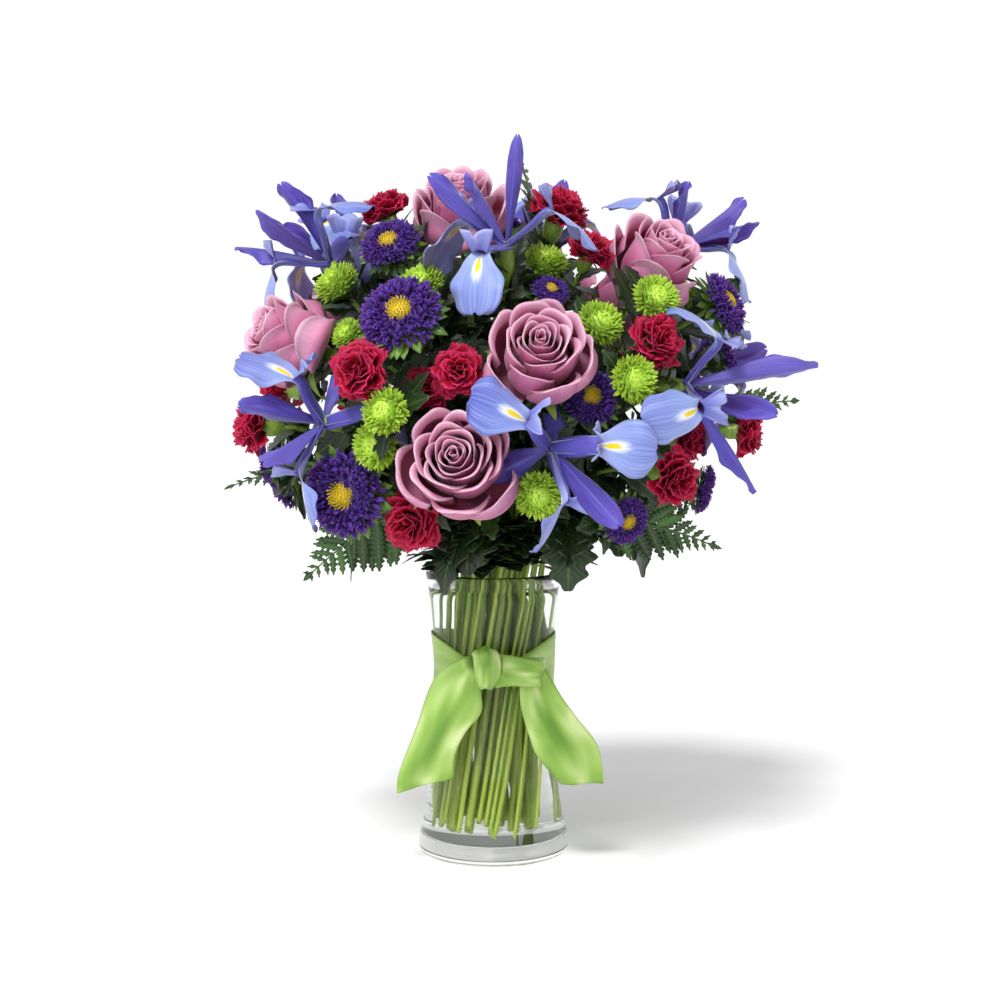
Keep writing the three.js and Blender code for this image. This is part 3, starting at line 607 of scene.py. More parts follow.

# %% [markdown]
# ### Glass, water and satin
# Soda-lime glass has an IOR of about 1.5 and water 1.333. Their reflections are turned down, or the white floor and
# surround would lie like a veil over the stems. The satin is woven of fine bright threads: its long
# floats give it the stretched highlights, and its weave is about 0.3 mm, drawn at 0.5 mm so that it shows. Broad
# pale and dark patches over it are painted sheen and painted shade.

# %% Glass, water and satin looks
def clear_look(name, tint, ior, gleam):
    """A clear solid. Lamp light and diffuse light pass straight through, so that what stands inside is well lit."""
    look, tree, shader = new_look(name, Base_Color=colour(tint), Roughness=0.0, IOR=ior, Transmission_Weight=1.0,
                                  Specular_Tint=colour(gleam))
    ray = add(tree, "LightPath").outputs
    lamp_ray = maths(tree, "MAXIMUM", ray["Is Shadow Ray"], ray["Is Diffuse Ray"])
    open_way = add(tree, "BsdfTransparent", {"Color": colour("#ffffff")}).outputs["BSDF"]
    both = add(tree, "MixShader", {0: lamp_ray, 1: shader.outputs["BSDF"], 2: open_way}).outputs["Shader"]
    tree.links.new(both, tree.nodes["Material Output"].inputs["Surface"])
    return look


GLASS = clear_look("soda-lime glass", "#ffffff", 1.5, "#808080")
WATER = clear_look("vase water", "#fbfffb", 1.333, "#404040")


def satin_look():
    look, tree, shader = new_look("polyester satin ribbon", Roughness=0.3, Sheen_Weight=0.35, Sheen_Roughness=0.25,
                                  Sheen_Tint=colour("#e8f2a0"), Anisotropic=0.6, Specular_IOR_Level=0.9,
                                  Specular_Tint=colour("#f0f8b8"), Subsurface_Weight=0.05, Subsurface_Scale=0.002)
    uv = add(tree, "TexCoord").outputs["UV"]
    threads = stretched(tree, uv, 76.0, 220.0, 1.0)
    weft, warp = (add(tree, "TexWave", {"Vector": threads, "Scale": 1.0, "Distortion": 0.4},
                      bands_direction=way).outputs["Fac"] for way in "XY")
    weave = maths(tree, "ADD", weft, warp)
    # Painted sheen and shade: a large noise over the ribbon picks between pale and dark greens.
    painted_sheen_noise = noise(tree, uv, 2.4, 1.0)
    tone = ramp(tree, painted_sheen_noise, [(0.32, "#63943a"), (0.68, "#c9d999"), (0.45, "#84ae4a"), (0.56, "#a2c46c")])
    across = add(tree, "SeparateXYZ", {"Vector": uv}).outputs["X"]
    edge = maths(tree, "ABSOLUTE", maths(tree, "SUBTRACT", across, 0.5))
    selvedge = ranged(tree, edge, from_min=0.46, from_max=0.5, to_max=0.5)
    edged = mixed(tree, selvedge, tone, "#a9cc66")
    surface(tree, shader, edged, weave, 0.12, 0.0002)
    return look


SATIN = satin_look()

# %% [markdown]
# ## The vase and its water
# The glass is blown in a mould and is round, but the CAD node has flat sides. Its outline is one chain of
# vertices on the front, so that chain is lifted from the node and spun round the axis as smooth glass.

# %% Outline of the vase
def vase_outline():
    bm = merged_copy("vase")
    chain = [v for v in bm.verts if abs(v.co.x) < 0.05 * MM and v.co.y < 1e-6]
    start = min(chain, key=lambda v: (v.co.z, -v.co.y))
    line, here = [start], start
    while True:
        ahead = [e.other_vert(here) for e in here.link_edges]
        ahead = [v for v in ahead if v in chain and v not in line]
        if not ahead:
            break
        if len(line) == 1:
            here = max(ahead, key=lambda v: -v.co.y)
        else:
            here = min(ahead, key=lambda v: (v.co - here.co).length)
        line.append(here)
    outline = [(-v.co.y, v.co.z) for v in line]
    bm.free()
    return outline


OUTLINE = vase_outline()
print("vase outline in mm:", [(round(r / MM, 1), round(z / MM, 1)) for r, z in OUTLINE])

# %% Spin the glass and the water
def spun(name, outline, look, slot, node, steps=96):
    bm = bmesh.new()
    line = [bm.verts.new((0, -r, z)) for r, z in outline]
    edges = [bm.edges.new(pair) for pair in zip(line, line[1:])]
    bmesh.ops.spin(bm, geom=line + edges, axis=(0, 0, 1), cent=(0, 0, 0), dvec=(0, 0, 0),
                   angle=2 * math.pi, steps=steps, use_merge=True, use_duplicate=False)
    bmesh.ops.remove_doubles(bm, verts=bm.verts, dist=1e-6)
    bmesh.ops.recalc_face_normals(bm, faces=bm.faces)
    return new_piece(name, bm, look, slot, (node,))


def smooth_outline(points, parts, corners):
    """More points along an outline, on a smooth line from corner to corner; the corners stay."""
    out = [points[0]]
    for start, end in zip(corners, corners[1:]):
        run = [Vector((r, z, 0)) for r, z in points[start:end + 1]]
        count = (len(run) - 1) * parts if len(run) > 2 else 1
        spots = [through(run, k / count) for k in range(1, count + 1)]
        out += [(max(p.x, 0.0), p.y) for p in spots]
    return out


lip = [i for i, (r, z) in enumerate(OUTLINE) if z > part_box("vase")[1].z - 1 * MM]
last = len(OUTLINE) - 1
OUTER_WALL = smooth_outline(OUTLINE[1:lip[0] + 1], 4, [0, lip[0] - 1])
INNER_WALL = smooth_outline(OUTLINE[lip[-1]:last], 4, [0, last - 1 - lip[-1]])
LIP = smooth_outline(OUTLINE[lip[0]:lip[-1] + 1], 3, [0, len(lip) - 1])
spun("vase_glass", [OUTLINE[0], *OUTER_WALL, *LIP[1:], *INNER_WALL[1:], OUTLINE[last]], GLASS, "clear_glass", "vase")


def radius_at(wall, z):
    return float(np.interp(z, [p[1] for p in wall], [p[0] for p in wall]))


# The water reaches a tenth of a millimetre into the glass, so that no film of air shows between them,
# and climbs a little at the wall, as water does.
water_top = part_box("water")[1].z
wet_wall = [(r + 0.1 * MM, z) for r, z in INNER_WALL if z < water_top - 2 * MM]
edge_radius = radius_at(INNER_WALL[::-1], water_top) + 0.1 * MM
floor_z = OUTLINE[last][1] - 0.1 * MM
meniscus = [(0, water_top), (edge_radius - 1.5 * MM, water_top), (edge_radius, water_top + 0.6 * MM)]
spun("vase_water", [*meniscus, *wet_wall[:-1], (wet_wall[-1][0], floor_z), (0, floor_z)], WATER, "water", "water")
print("water stands at", round(water_top / MM), "mm")

# %% [markdown]
# ## The ribbon
# A satin ribbon about 38 mm wide goes once round the waist and is tied in front. It lies flat at the sides and is
# pleated down to a finger's width under the knot. The band follows the glass, so it is a grid laid on the vase's
# own radius. Each tail is a grid between its two edges, which are drawn as smooth lines, with a soft fold added.

# %% Ribbon
knot_z = (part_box("ribbon")[1].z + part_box("ribbon")[0].z) / 2 + 33 * MM
RIBBON_WALL = 0.4 * MM


def band_place(u, v):
    turn = 2 * math.pi * v
    share = smoothly(abs(math.sin(turn)), 0.3, 1.0) if math.cos(turn) > 0 else 1.0
    share = 0.25 * share + 0.75 * (min(max((abs(math.sin(turn)) - 0.3) / 0.7, 0), 1) if math.cos(turn) > 0 else 1.0)
    half = (6.5 + 13.0 * share) * MM
    z = knot_z + (share - 0.5) * 2.5 * MM + u * half
    pleat = (1 - share) * (1 + math.sin(u * 8.5 + 1.2)) * 1.3 * MM
    wave = share * 0.5 * (1 + math.sin(5 * turn + 2 * u)) * MM
    r = radius_at(OUTER_WALL, z) + 0.5 * MM + pleat + wave
    return Vector((r * math.sin(turn), -r * math.cos(turn), z))


def satin_piece(name, columns, rows, place, flat, merge=False):
    bm = new_mesh()
    made = sheet(bm, columns, rows, place)
    if merge:
        bmesh.ops.remove_doubles(bm, verts=made, dist=1e-6)
    area = sum(f.calc_area() for f in bm.faces)
    piece = new_piece(name, bm, SATIN, "satin_ribbon", ("ribbon",), wall=RIBBON_WALL)
    print(name, "area", round(area * 1e6), "mm2 of", round(flat[0] * flat[1] * 1e6))
    return piece


def between(left, right, billow):
    """A sheet between two edges that are given as points in mm; billow(u, v) pushes it forwards, in mm."""
    left, right = ([Vector(p) * MM for p in edge] for edge in (left, right))

    def place(u, v):
        a, b = through(left, v), through(right, v)
        return a.lerp(b, (u + 1) / 2) + Vector((0, -1, 0)) * billow(u, v) * MM

    return place


satin_piece("ribbon_band", 14, 120, band_place, (0.036, 0.272))
satin_piece("ribbon_tail_left", 16, 36, between(
    [(-12, -46, 149), (-24, -50, 147), (-42, -44, 131), (-54, -44, 98), (-66, -46, 66), (-67, -50, 53)],
    [(-9, -50, 136), (-10, -54, 130), (-8, -52, 111), (-19, -50, 96), (-27, -47, 79), (-28, -44, 62)],
    lambda u, v: 5 * (1 - u * u) * math.sin(math.pi * min(v * 1.1, 1)) + 2.5 * math.sin(3.4 * u + 5 * v) * v),
    (0.036, 0.105))
satin_piece("ribbon_tail_right", 16, 36, between(
    [(15, -50, 146), (18, -53, 137), (19, -52, 115), (25, -50, 93), (31, -48, 78), (47, -44, 58)],
    [(34, -50, 145), (39, -50, 136), (48, -47, 120), (58, -46, 106), (73, -46, 85), (77, -48, 59)],
    lambda u, v: 5 * math.exp(-((u + 0.35) / 0.45) ** 2) * (1 - 0.5 * v) + 2 * math.sin(3 * u - 3 * v)),
    (0.036, 0.105))


def knot_place(u, v):
    turn = 2 * math.pi * v + math.pi
    pinch = 1 - 0.38 * abs(u) ** 2.5
    fold = 1 + 0.055 * math.sin(7 * u + 1.5 * math.sin(turn)) + 0.04 * math.sin(2 * turn)
    return Vector((-5.5 * MM + (9.5 * u + 1.5 * math.cos(turn)) * MM,
                   -(51 + 7.5 * pinch * fold * math.cos(turn)) * MM,
                   knot_z + 2 * MM + 15 * pinch * fold * math.sin(turn) * MM))


satin_piece("ribbon_knot", 16, 36, knot_place, (0.020, 0.074), merge=True)
loop_line = [Vector(p) * MM for p in [(2, -51, 0), (12, -56, 1), (24, -58, 0), (33, -54, -1), (34, -47, -1),
                                      (27, -46, -2), (24, -50, -2)]]


def loop_place(u, v):
    at = through(loop_line, v)
    half = (12 - 2.5 * math.sin(math.pi * v)) * MM
    return at + Vector((1.5 * MM * math.sin(3 * u), -1.5 * MM * (1 - u * u), knot_z + u * half))


satin_piece("ribbon_loop", 12, 30, loop_place, (0.022, 0.048))

# %% [markdown]
# ## Stems and leaves
# Each stem follows its CAD line from its cut foot in the water to the flower. A spray's first stem is drawn whole
# and its branches start at the fork. Leaves grow along the stems above the rim, big enough to fill the inside of the
# bunch and dark, partly as painted shade there, and never longer than the room that is left to the flower above them.

# %% Stems
rim_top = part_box("vase")[1].z


def length_of(points):
    return sum((b - a).length for a, b in zip(points, points[1:]))


def stems(bm, lines, radius, rng):
    drawn = []
    for line in sorted(lines, key=len):
        fresh = [i for i, p in enumerate(line) if all((p - q).length > 1.5 * MM for q in drawn)]
        start = max((fresh[0] if fresh else 0) - 1, 0)
        part = line[start:]
        thick = radius * (0.85 if start == 0 else 0.7)
        tone = rng.random()
        wander = rng.uniform(0, 6)
        rows = max(12, int(length_of(part) / (9 * MM)))
        tube(bm, part, lambda t: thick * (1 + 0.06 * math.sin(9 * t + wander)) * (1 - 0.12 * t), 8, rows,
             chance=tone, slant=rng.uniform(0.6, 1.6) if start == 0 else 0.0)
        drawn += line


def tangent_of(line, t):
    return (through(line, min(t + 0.01, 1)) - through(line, max(t - 0.01, 0))).normalized()


def lobed(v):
    return (math.sin(math.pi * min(0.12 + v * 0.86, 1)) ** 0.7) * (1 + 0.22 * math.sin(v * 26)) * (1 - 0.25 * v)


def leaves_along(bm, line, rng, count, longest=46 * MM, above=0.212):
    total = length_of(line)
    for _ in range(count):
        t = rng.uniform(0.45, 0.93)
        root = through(line, t)
        room = total * (1 - t)
        if root.z < above or room < 14 * MM:
            continue
        ahead = tangent_of(line, t)
        right, over = square_to(ahead)
        turn = rng.uniform(0, 2 * math.pi)
        out = spoke(right, over, turn)
        size = min(longest, room * 0.85) * rng.uniform(0.7, 1.0)
        strip(bm, root, out + ahead * rng.uniform(0.5, 1.2), ahead - out * 0.3, size, size * rng.uniform(0.48, 0.6),
              bend=-rng.uniform(0.3, 1.0), cup=0.12, outline=lobed, columns=4, rows=12, chance=rng.random() * 0.7,
              twist=rng.uniform(-0.5, 0.5))


# %% Collar leaves
def collar(bm, line, rng, count):
    """Leaves that spread outwards over the rim, where the bunch leaves the vase."""
    steps = [through(line, k / 60) for k in range(61)]
    for _ in range(count):
        height = rim_top + rng.uniform(5, 36) * MM
        root = min(steps, key=lambda p: abs(p.z - height))
        out = Vector((root.x, root.y, 0)).normalized() + Vector((rng.uniform(-0.7, 0.7), rng.uniform(-0.7, 0.7), 0))
        size = rng.uniform(26, 42) * MM
        along = out + Vector((0, 0, rng.uniform(0.05, 0.6)))
        strip(bm, root, along, Vector((0, 0, 1)), size, size * rng.uniform(0.5, 0.62),
              bend=-rng.uniform(0.2, 0.8), cup=0.12, outline=lobed, columns=4, rows=12, chance=rng.random() * 0.5,
              twist=rng.uniform(-0.4, 0.4))


# %% Green pieces and sprays
THIN_WALL, PETAL_WALL, LEAF_WALL = 0.25 * MM, 0.3 * MM, 0.35 * MM


def green_pieces(node, stem, green):
    new_piece(node + "_stem", stem, STEM, "green_leaf")
    new_piece(node + "_leaves", green, LEAF, "green_leaf", wall=LEAF_WALL)


def grow_sprays(kind, draw_head, parts, leaf_count, wall):
    """parts are the meshes that draw_head fills, each with a name, a look and a slot; the first stands for the node."""
    for node in PLANT_NODES[kind]:
        rng = random.Random(node)
        heads = HEAD_DATA[node]
        meshes = [new_mesh() for _ in parts]
        stem, green = new_mesh(), new_mesh()
        for head in heads:
            draw_head(meshes, stem, head, rng)
            leaves_along(green, head.stem, rng, leaf_count)
        collar(green, heads[0].stem, rng, 4)
        stems(stem, [head.stem for head in heads], STEM_RADIUS[kind] * MM, rng)
        for mesh, (name, look, slot) in zip(meshes, parts):
            new_piece(f"{node}_{name}", mesh, look, slot, (node,) if mesh is meshes[0] else (), wall=wall)
        green_pieces(node, stem, green)
    print(kind, "heads:", sum(len(HEAD_DATA[n]) for n in PLANT_NODES[kind]))


# %% Fronds and broad leaves
def frond_lines(kind, node):
    bm = merged_copy(node)
    foot = min(bm.verts, key=lambda v: v.co.z).co.copy()
    far = max(bm.verts, key=lambda v: (v.co - foot).length if node == "fern_5" else math.hypot(v.co.x, v.co.y)).co
    line = stem_to(bm, kind, far)[0][:8]
    root = line[-1]
    blade = [v.co for v in bm.verts
             if all((v.co - p).length > 5 * MM for p in line) and (v.co - root).length < 125 * MM]
    tip = max(blade, key=lambda p: (p - root).length).copy()
    sections = sections_of(bm, 1.6 * MM)
    bm.free()
    return line, root, tip, sections


def frond_width(t):
    return smoothly(t, 0, 0.3) * 0.5 + 0.5 if t < 0.3 else 1 - 0.98 * smoothly(t, 0.3, 1.1)


def fern_frond(bm, root, tip, sections, rng):
    middle = (root + tip) / 2 + Vector((0, 0, 0.12 * (tip - root).length))

    def spine(t):
        return root * (1 - t) ** 2 + middle * 2 * t * (1 - t) + tip * t ** 2

    widest, side = 44 * MM, None
    sizes = []
    for at, across in sections:
        t = min((k / 40 for k in range(41)), key=lambda k: (spine(k) - at).length)
        sizes.append(across.length / max(frond_width(t), 0.05))
        if side is None or across.length > side.length:
            side = across
    if sizes:
        widest = sorted(sizes)[len(sizes) // 2]
    chord = (tip - root).normalized()
    side = (side - chord * side.dot(chord)).normalized() if side else chord.cross(Vector((0, 0, 1))).normalized()
    tube(bm, [spine(k / 6) for k in range(7)], lambda t: (1.1 - 0.8 * t) * MM, 6, 16, chance=0.7)
    count = max(8, int((tip - root).length / (6.6 * MM)))
    for k in range(count):
        t = 0.05 + 0.9 * k / (count - 1)
        ahead = (spine(min(t + 0.01, 1)) - spine(max(t - 0.01, 0))).normalized()
        normal = side.cross(ahead).normalized()
        if normal.z < 0:
            normal.negate()
        reach = widest / 2 * frond_width(t) * rng.uniform(0.98, 1.16) + 2 * MM
        teeth = max(2, int(reach / (3.4 * MM)))

        def toothed(v):
            return (lance(v) * 0.9 + 0.1) * (0.5 + 0.5 * abs(math.cos(math.pi * teeth * v))) * (1 - 0.3 * v)

        for way in (-1, 1):
            slant = math.radians(55 + rng.uniform(-7, 7))
            out = side * way * math.sin(slant) + ahead * math.cos(slant) + normal * rng.uniform(-0.1, 0.2)
            strip(bm, spine(t), out, normal, reach, max(reach * 0.46, 3.4 * MM), bend=-rng.uniform(0.1, 0.6), cup=0.12,
                  outline=toothed, columns=2, rows=teeth * 4, chance=rng.random())
    strip(bm, spine(0.93), spine(1) - spine(0.93), side.cross(chord), (tip - root).length * 0.1, 4 * MM, bend=-0.1,
          cup=0.1)
    return widest


for kind in ("fern", "leaf"):
    for node in PLANT_NODES[kind]:
        rng = random.Random(node)
        stalk, root, tip, sections = frond_lines(kind, node)
        green = new_mesh()
        if kind == "fern":
            widest = fern_frond(green, root, tip, sections, rng)
            print(node, "frond of", round((tip - root).length / MM), "x", round(widest / MM), "mm")
        else:
            chord = tip - root
            widest = max(across.length for _, across in sections)
            for side_leaf in (0, 1, -1):
                along = Matrix.Rotation(side_leaf * 0.75, 3, Vector((0, 0, 1))) @ chord
                size = chord.length * (1.08 if side_leaf == 0 else 0.72)
                strip(green, root + chord * 0.08 * abs(side_leaf), along + Vector((0, 0, 0.45 * chord.length)),
                      Vector((0, 0, 1)), size, widest * 1.1, bend=-0.9, cup=0.1, outline=lobed, columns=8, rows=26,
                      chance=rng.random() * 0.6)
        leaves_along(green, stalk, rng, 6)
        collar(green, stalk, rng, 2)
        new_piece(node + "_fronds" if kind == "fern" else node + "_leaves", green, FERN if kind == "fern" else LEAF,
                  "fern_leaf" if kind == "fern" else "green_leaf", (node,), wall=LEAF_WALL)
        stem = new_mesh()
        stems(stem, [stalk], STEM_RADIUS[kind] * MM, rng)
        new_piece(node + "_stem", stem, STEM, "green_leaf")

# %% [markdown]
# ## Roses
# A garden rose is a bud whose petals unroll from the outside. Each petal is a cup round the flower's axis: it
# rises from the hip, bellies out, and turns its rim outwards and down. The turn of 137.5 degrees from petal to
# petal is the plant's own, and gives the spiral. Further out the petals are wider apart, lower and more rolled,
# and they roll more at their two shoulders than in the middle, which makes the rim look pointed.

# %% Rose petals
def bezier(a, b, c, d, t):
    s = 1 - t
    return tuple(s ** 3 * p + 3 * s * s * t * q + 3 * s * t * t * r + t ** 3 * w for p, q, r, w in zip(a, b, c, d))


def rose_petals(bm, base, facing, radius, rng, petals=25):
    right, over = square_to(facing)
    deep = radius * HEADS["rose"][1]
    start = rng.uniform(0, 2 * math.pi)
    for i in range(petals):
        s = i / (petals - 1)
        share = 0.05 + 0.95 * s ** 1.1
        spread = smoothly(s, 0.72, 1.0)
        rim = radius * share * (1 + 0.15 * spread) * rng.uniform(0.93, 1.02)
        top = deep * (0.99 - 0.36 * share ** 2.6 - 0.1 * spread) * rng.uniform(0.96, 1.02)
        half = 0.72 + 1.7 * (1 - s) ** 2.2
        curl = 0.25 + 1.6 * s
        lip = radius * (0.06 + 0.32 * s)
        turn0, phase = start + i * GOLDEN + rng.uniform(-0.2, 0.2), rng.uniform(0, 6)
        tuck, drop, point = 0.05 + 0.16 * s, (0.08 + 0.24 * s) * deep, 0.05 * radius * s
        a = (0.05 * radius, 0.02 * deep)
        b = (rim * 1.1 + 0.08 * radius, 0.12 * deep)
        c = (rim * (1.04 - 0.14 * s), 0.66 * top)
        d = (rim - lip * 0.42 * s, top - lip * 0.5)
        heading = math.atan2(d[0] - c[0], d[1] - c[1])

        def place(u, v):
            v = v * (1 - 0.16 * abs(u) ** 3)
            here_curl = curl * (0.5 + 0.9 * abs(u) ** 1.3)
            if v < 0.74:
                r, z = bezier(a, b, c, d, v / 0.74)
            else:
                q = (v - 0.74) / 0.26 * here_curl
                r = d[0] + lip / here_curl * (math.cos(heading) - math.cos(heading + q))
                z = d[1] + lip / here_curl * (math.sin(heading + q) - math.sin(heading))
            r *= (1 + 0.05 * u) * (1 - tuck * u * u)
            r += point * math.exp(-(u / 0.3) ** 2) * v ** 6 + 0.02 * radius * math.sin(6 * u + phase) * v ** 4
            z += 0.015 * radius * math.sin(5 * u + phase) * v ** 4 - drop * abs(u) ** 2.2 * v
            turn = turn0 + half * u
            return base + right * (r * math.cos(turn)) + over * (r * math.sin(turn)) + facing * max(z, 0.01 * deep)

        sheet(bm, 20, 16, place, chance=rng.random(), layer=s)


def hip_and_sepals(bm, base, facing, radius, rng):
    right, over = square_to(facing)
    tube(bm, [base - facing * 0.12 * radius, base, base + facing * 0.16 * radius],
         lambda t: radius * (0.09 + 0.13 * math.sin(math.pi * min(t * 0.7 + 0.1, 1))), 10, 8, chance=0.3)
    for k in range(5):
        turn = 2 * math.pi * k / 5 + rng.uniform(-0.2, 0.2)
        out = spoke(right, over, turn)
        strip(bm, base + out * 0.14 * radius, out + facing * 0.35, facing - out, radius * 0.85, radius * 0.2,
              bend=-rng.uniform(0.5, 1.6), cup=0.15, columns=2, rows=8, chance=0.5)


for node in PLANT_NODES["rose"]:
    rng = random.Random(node)
    *shape, line = HEAD_DATA[node][0]
    petals, stem, green = new_mesh(), new_mesh(), new_mesh()
    rose_petals(petals, *shape, rng)
    new_piece(node + "_petals", petals, ROSE_PETAL, "rose_petals", (node,), wall=PETAL_WALL)
    stems(stem, [line], STEM_RADIUS["rose"] * MM, rng)
    hip_and_sepals(stem, *shape, rng)
    leaves_along(green, line, rng, 20)
    collar(green, line, rng, 4)
    green_pieces(node, stem, green)
print("roses:", len(PLANT_NODES["rose"]))

# %% [markdown]
# ## Carnations
# A carnation has a green calyx tube, and over thirty fan-shaped petals whose rims are toothed and crimped. The
# rim waves up and down and in and out at once, and every second vertex of the last row steps back, which cuts
# the teeth.

# %% Carnation heads
def carnation_petals(bm, base, facing, radius, rng, petals=34):
    right, over = square_to(facing)
    deep = radius * HEADS["carnation"][1]
    for i in range(petals):
        s = i / (petals - 1)
        share = 0.14 + 0.86 * s ** 0.65
        rim = radius * share * rng.uniform(0.86, 1.06)
        crown = 1.0 - 0.05 * (share / 0.62) ** 2 if share < 0.62 else 0.95 - 0.37 * ((share - 0.62) / 0.38) ** 1.6
        top = deep * crown * rng.uniform(0.93, 1.03)
        half = 0.62 + 1.0 * (1 - s)
        turn0, p, q, w = i * GOLDEN + rng.uniform(-0.3, 0.3), rng.uniform(0, 6), rng.uniform(0, 6), rng.uniform(4, 6.5)
        lean = rng.uniform(-0.25, 0.25)
        a, b = (0.12 * radius * share, 0.28 * deep), (0.2 * radius * share + 0.06 * radius, 0.5 * deep)
        c, d = (rim * 0.62, top * 0.97), (rim, top)

        def place(u, v):
            if v > 0.99 and round((u + 1) * 9) % 2:
                v = 0.955
            r, z = bezier(a, b, c, d, v * (1 - 0.14 * u * u))
            crimp = v * v * radius
            r += crimp * (0.09 * math.sin(w * u + p) + 0.02 * math.sin(17 * u + q))
            z += crimp * (0.15 * math.sin((w - 1.2) * u + q) + 0.03 * math.sin(21 * u + p)) - 0.08 * deep * u * u * v
            turn = turn0 + half * u + lean * v
            return base + right * (r * math.cos(turn)) + over * (r * math.sin(turn)) + facing * z

        sheet(bm, 18, 7, place, chance=rng.random(), layer=s)


def calyx(bm, base, facing, radius, rng):
    deep = radius * HEADS["carnation"][1]
    right, over = square_to(facing)
    tube(bm, [base, base + facing * 0.2 * deep, base + facing * 0.44 * deep],
         lambda t: radius * (0.15 + 0.14 * smoothly(t, 0, 0.6)), 10, 10, chance=0.55)
    for k in range(5):
        turn = 2 * math.pi * k / 5
        out = spoke(right, over, turn)
        strip(bm, base + out * 0.26 * radius + facing * 0.36 * deep, facing + out * 0.3, facing * 0.3 - out,
              radius * 0.3, radius * 0.24, bend=0.1, columns=2, rows=4, chance=0.5)


def carnation_head(meshes, stem, head, rng):
    carnation_petals(*meshes, *head[:3], rng)
    calyx(stem, *head[:3], rng)


grow_sprays("carnation", carnation_head, [("petals", CARNATION_PETAL, "carnation_petals")], 15, PETAL_WALL)

# %% [markdown]
# ## Asters and button mums
# Both are heads of many small florets, and one strip shape serves them all. An aster has a dense mat of narrow
# purple rays round a yellow disc, with a ruff of spoon-shaped green bracts behind. A button mum is a ball of
# short hollow florets that curve in to the crown, with the youngest in the middle, mixed toward a paler lime as painted
# light.

# %% Aster heads
def aster_head(rays, disc, bracts, base, facing, radius, rng):
    right, over = square_to(facing)
    deep = radius * HEADS["aster"][1]

    for k in range(380):
        share = math.sqrt((k + 0.5) / 380)
        out = spoke(right, over, k * GOLDEN + rng.uniform(-0.2, 0.2))
        tilt = math.radians(78 - 66 * share ** 1.8) + rng.uniform(-0.35, 0.35)
        along = out * math.cos(tilt) + facing * math.sin(tilt)
        root = base + out * radius * (0.27 + 0.55 * share) + facing * deep * (0.74 - 0.3 * share ** 3)
        strip(rays, root, along, facing, radius * rng.uniform(0.18, 0.28), radius * rng.uniform(0.085, 0.12),
              bend=rng.uniform(-1.4, 0.8), cup=0.5, outline=spoon, columns=2, rows=3, chance=rng.random(),
              layer=share * 0.4 + 0.6 * rng.random(), twist=rng.uniform(-1.6, 1.6))
    tube(rays, [base + facing * 0.2 * deep, base + facing * 0.4 * deep, base + facing * 0.72 * deep],
         lambda t: radius * (0.15 + 0.62 * smoothly(t, 0.1, 0.8) - 0.1 * t), 12, 8, chance=0.9, layer=0)
    for k in range(70):
        share = math.sqrt((k + 0.5) / 70)
        out = spoke(right, over, k * GOLDEN)
        root = base + out * radius * 0.31 * share + facing * deep * (0.84 - 0.10 * share ** 2)
        strip(disc, root, facing + out * 0.5 * share, out, radius * 0.10, radius * 0.055, bend=0.3, cup=0.5,
              outline=spoon, columns=2, rows=2, chance=rng.random(), layer=share)
    tube(disc, [base + facing * 0.6 * deep, base + facing * 0.75 * deep, base + facing * 0.86 * deep],
         lambda t: radius * 0.33 * (1 - 0.75 * t * t), 10, 6, chance=0.5)
    for k in range(30):
        out = spoke(right, over, 2 * math.pi * k / 30 + rng.uniform(-0.1, 0.1))
        strip(bracts, base + out * radius * 0.22 + facing * deep * 0.22, out + facing * rng.uniform(-0.25, 0.25),
              facing, radius * rng.uniform(0.7, 1.05), radius * 0.25, bend=rng.uniform(-0.5, 0.4), cup=0.1, outline=spoon,
              columns=2, rows=5, chance=rng.random())


grow_sprays("aster", lambda meshes, stem, head, rng: aster_head(*meshes, *head[:3], rng),
            [("rays", ASTER_FLORET, "aster_petals"), ("disc", DISC_FLORET, "aster_petals"),
             ("bracts", BRACT, "green_leaf")], 17, THIN_WALL)


# %% Button mum heads
def mum_head(florets, base, facing, radius, rng, count=260):
    right, over = square_to(facing)
    deep = radius * HEADS["mum"][1]
    centre = base + facing * deep * 0.5
    tube(florets, [base + facing * deep * 0.12, centre, base + facing * deep * 0.86],
         lambda t: radius * (0.12 + 0.5 * math.sin(math.pi * min(0.1 + t * 0.8, 1))), 10, 10, chance=0.2, layer=0)
    for k in range(count):
        share = (k + 0.5) / count
        polar = math.acos(1 - share * (1 - math.cos(math.radians(128)))) + rng.uniform(-0.05, 0.05)
        turn = k * GOLDEN + rng.uniform(-0.12, 0.12)
        out = spoke(right, over, turn)
        tip = out * (radius * math.sin(polar)) + facing * (deep * 0.5 * math.cos(polar))
        inner = smoothly(share, 0.0, 0.22)
        toward = tip.normalized() + facing * 0.3 * inner + Vector(rng.uniform(-0.12, 0.12) for _ in range(3))
        up = facing * math.sin(polar) - out * math.cos(polar)
        # The layer makes the florets round the crown paler: painted light.
        strip(florets, centre + tip * 0.55, toward, up, tip.length * (0.36 + 0.14 * inner) * rng.uniform(0.8, 1.08),
              radius * (0.115 + 0.03 * inner), bend=rng.uniform(-0.2, 0.8), cup=0.4, outline=lance, columns=2, rows=3,
              chance=rng.random(), layer=0.3 + 0.7 * rng.random() * inner)


grow_sprays("mum", lambda meshes, stem, head, rng: mum_head(*meshes, *head[:3], rng),
            [("florets", MUM_FLORET, "button_mum_petals")], 17, THIN_WALL)

# %% [markdown]
# ## Irises
# A Dutch iris has three falls, three standards and three style arms. A fall leaves the throat as a narrow haft,
# turns at the knee, and hangs as a broad ruffled blade. A style arm lies over each haft like a roof and ends in
# two pale crests at the knee. The standards are long, narrow, and folded along their midrib.

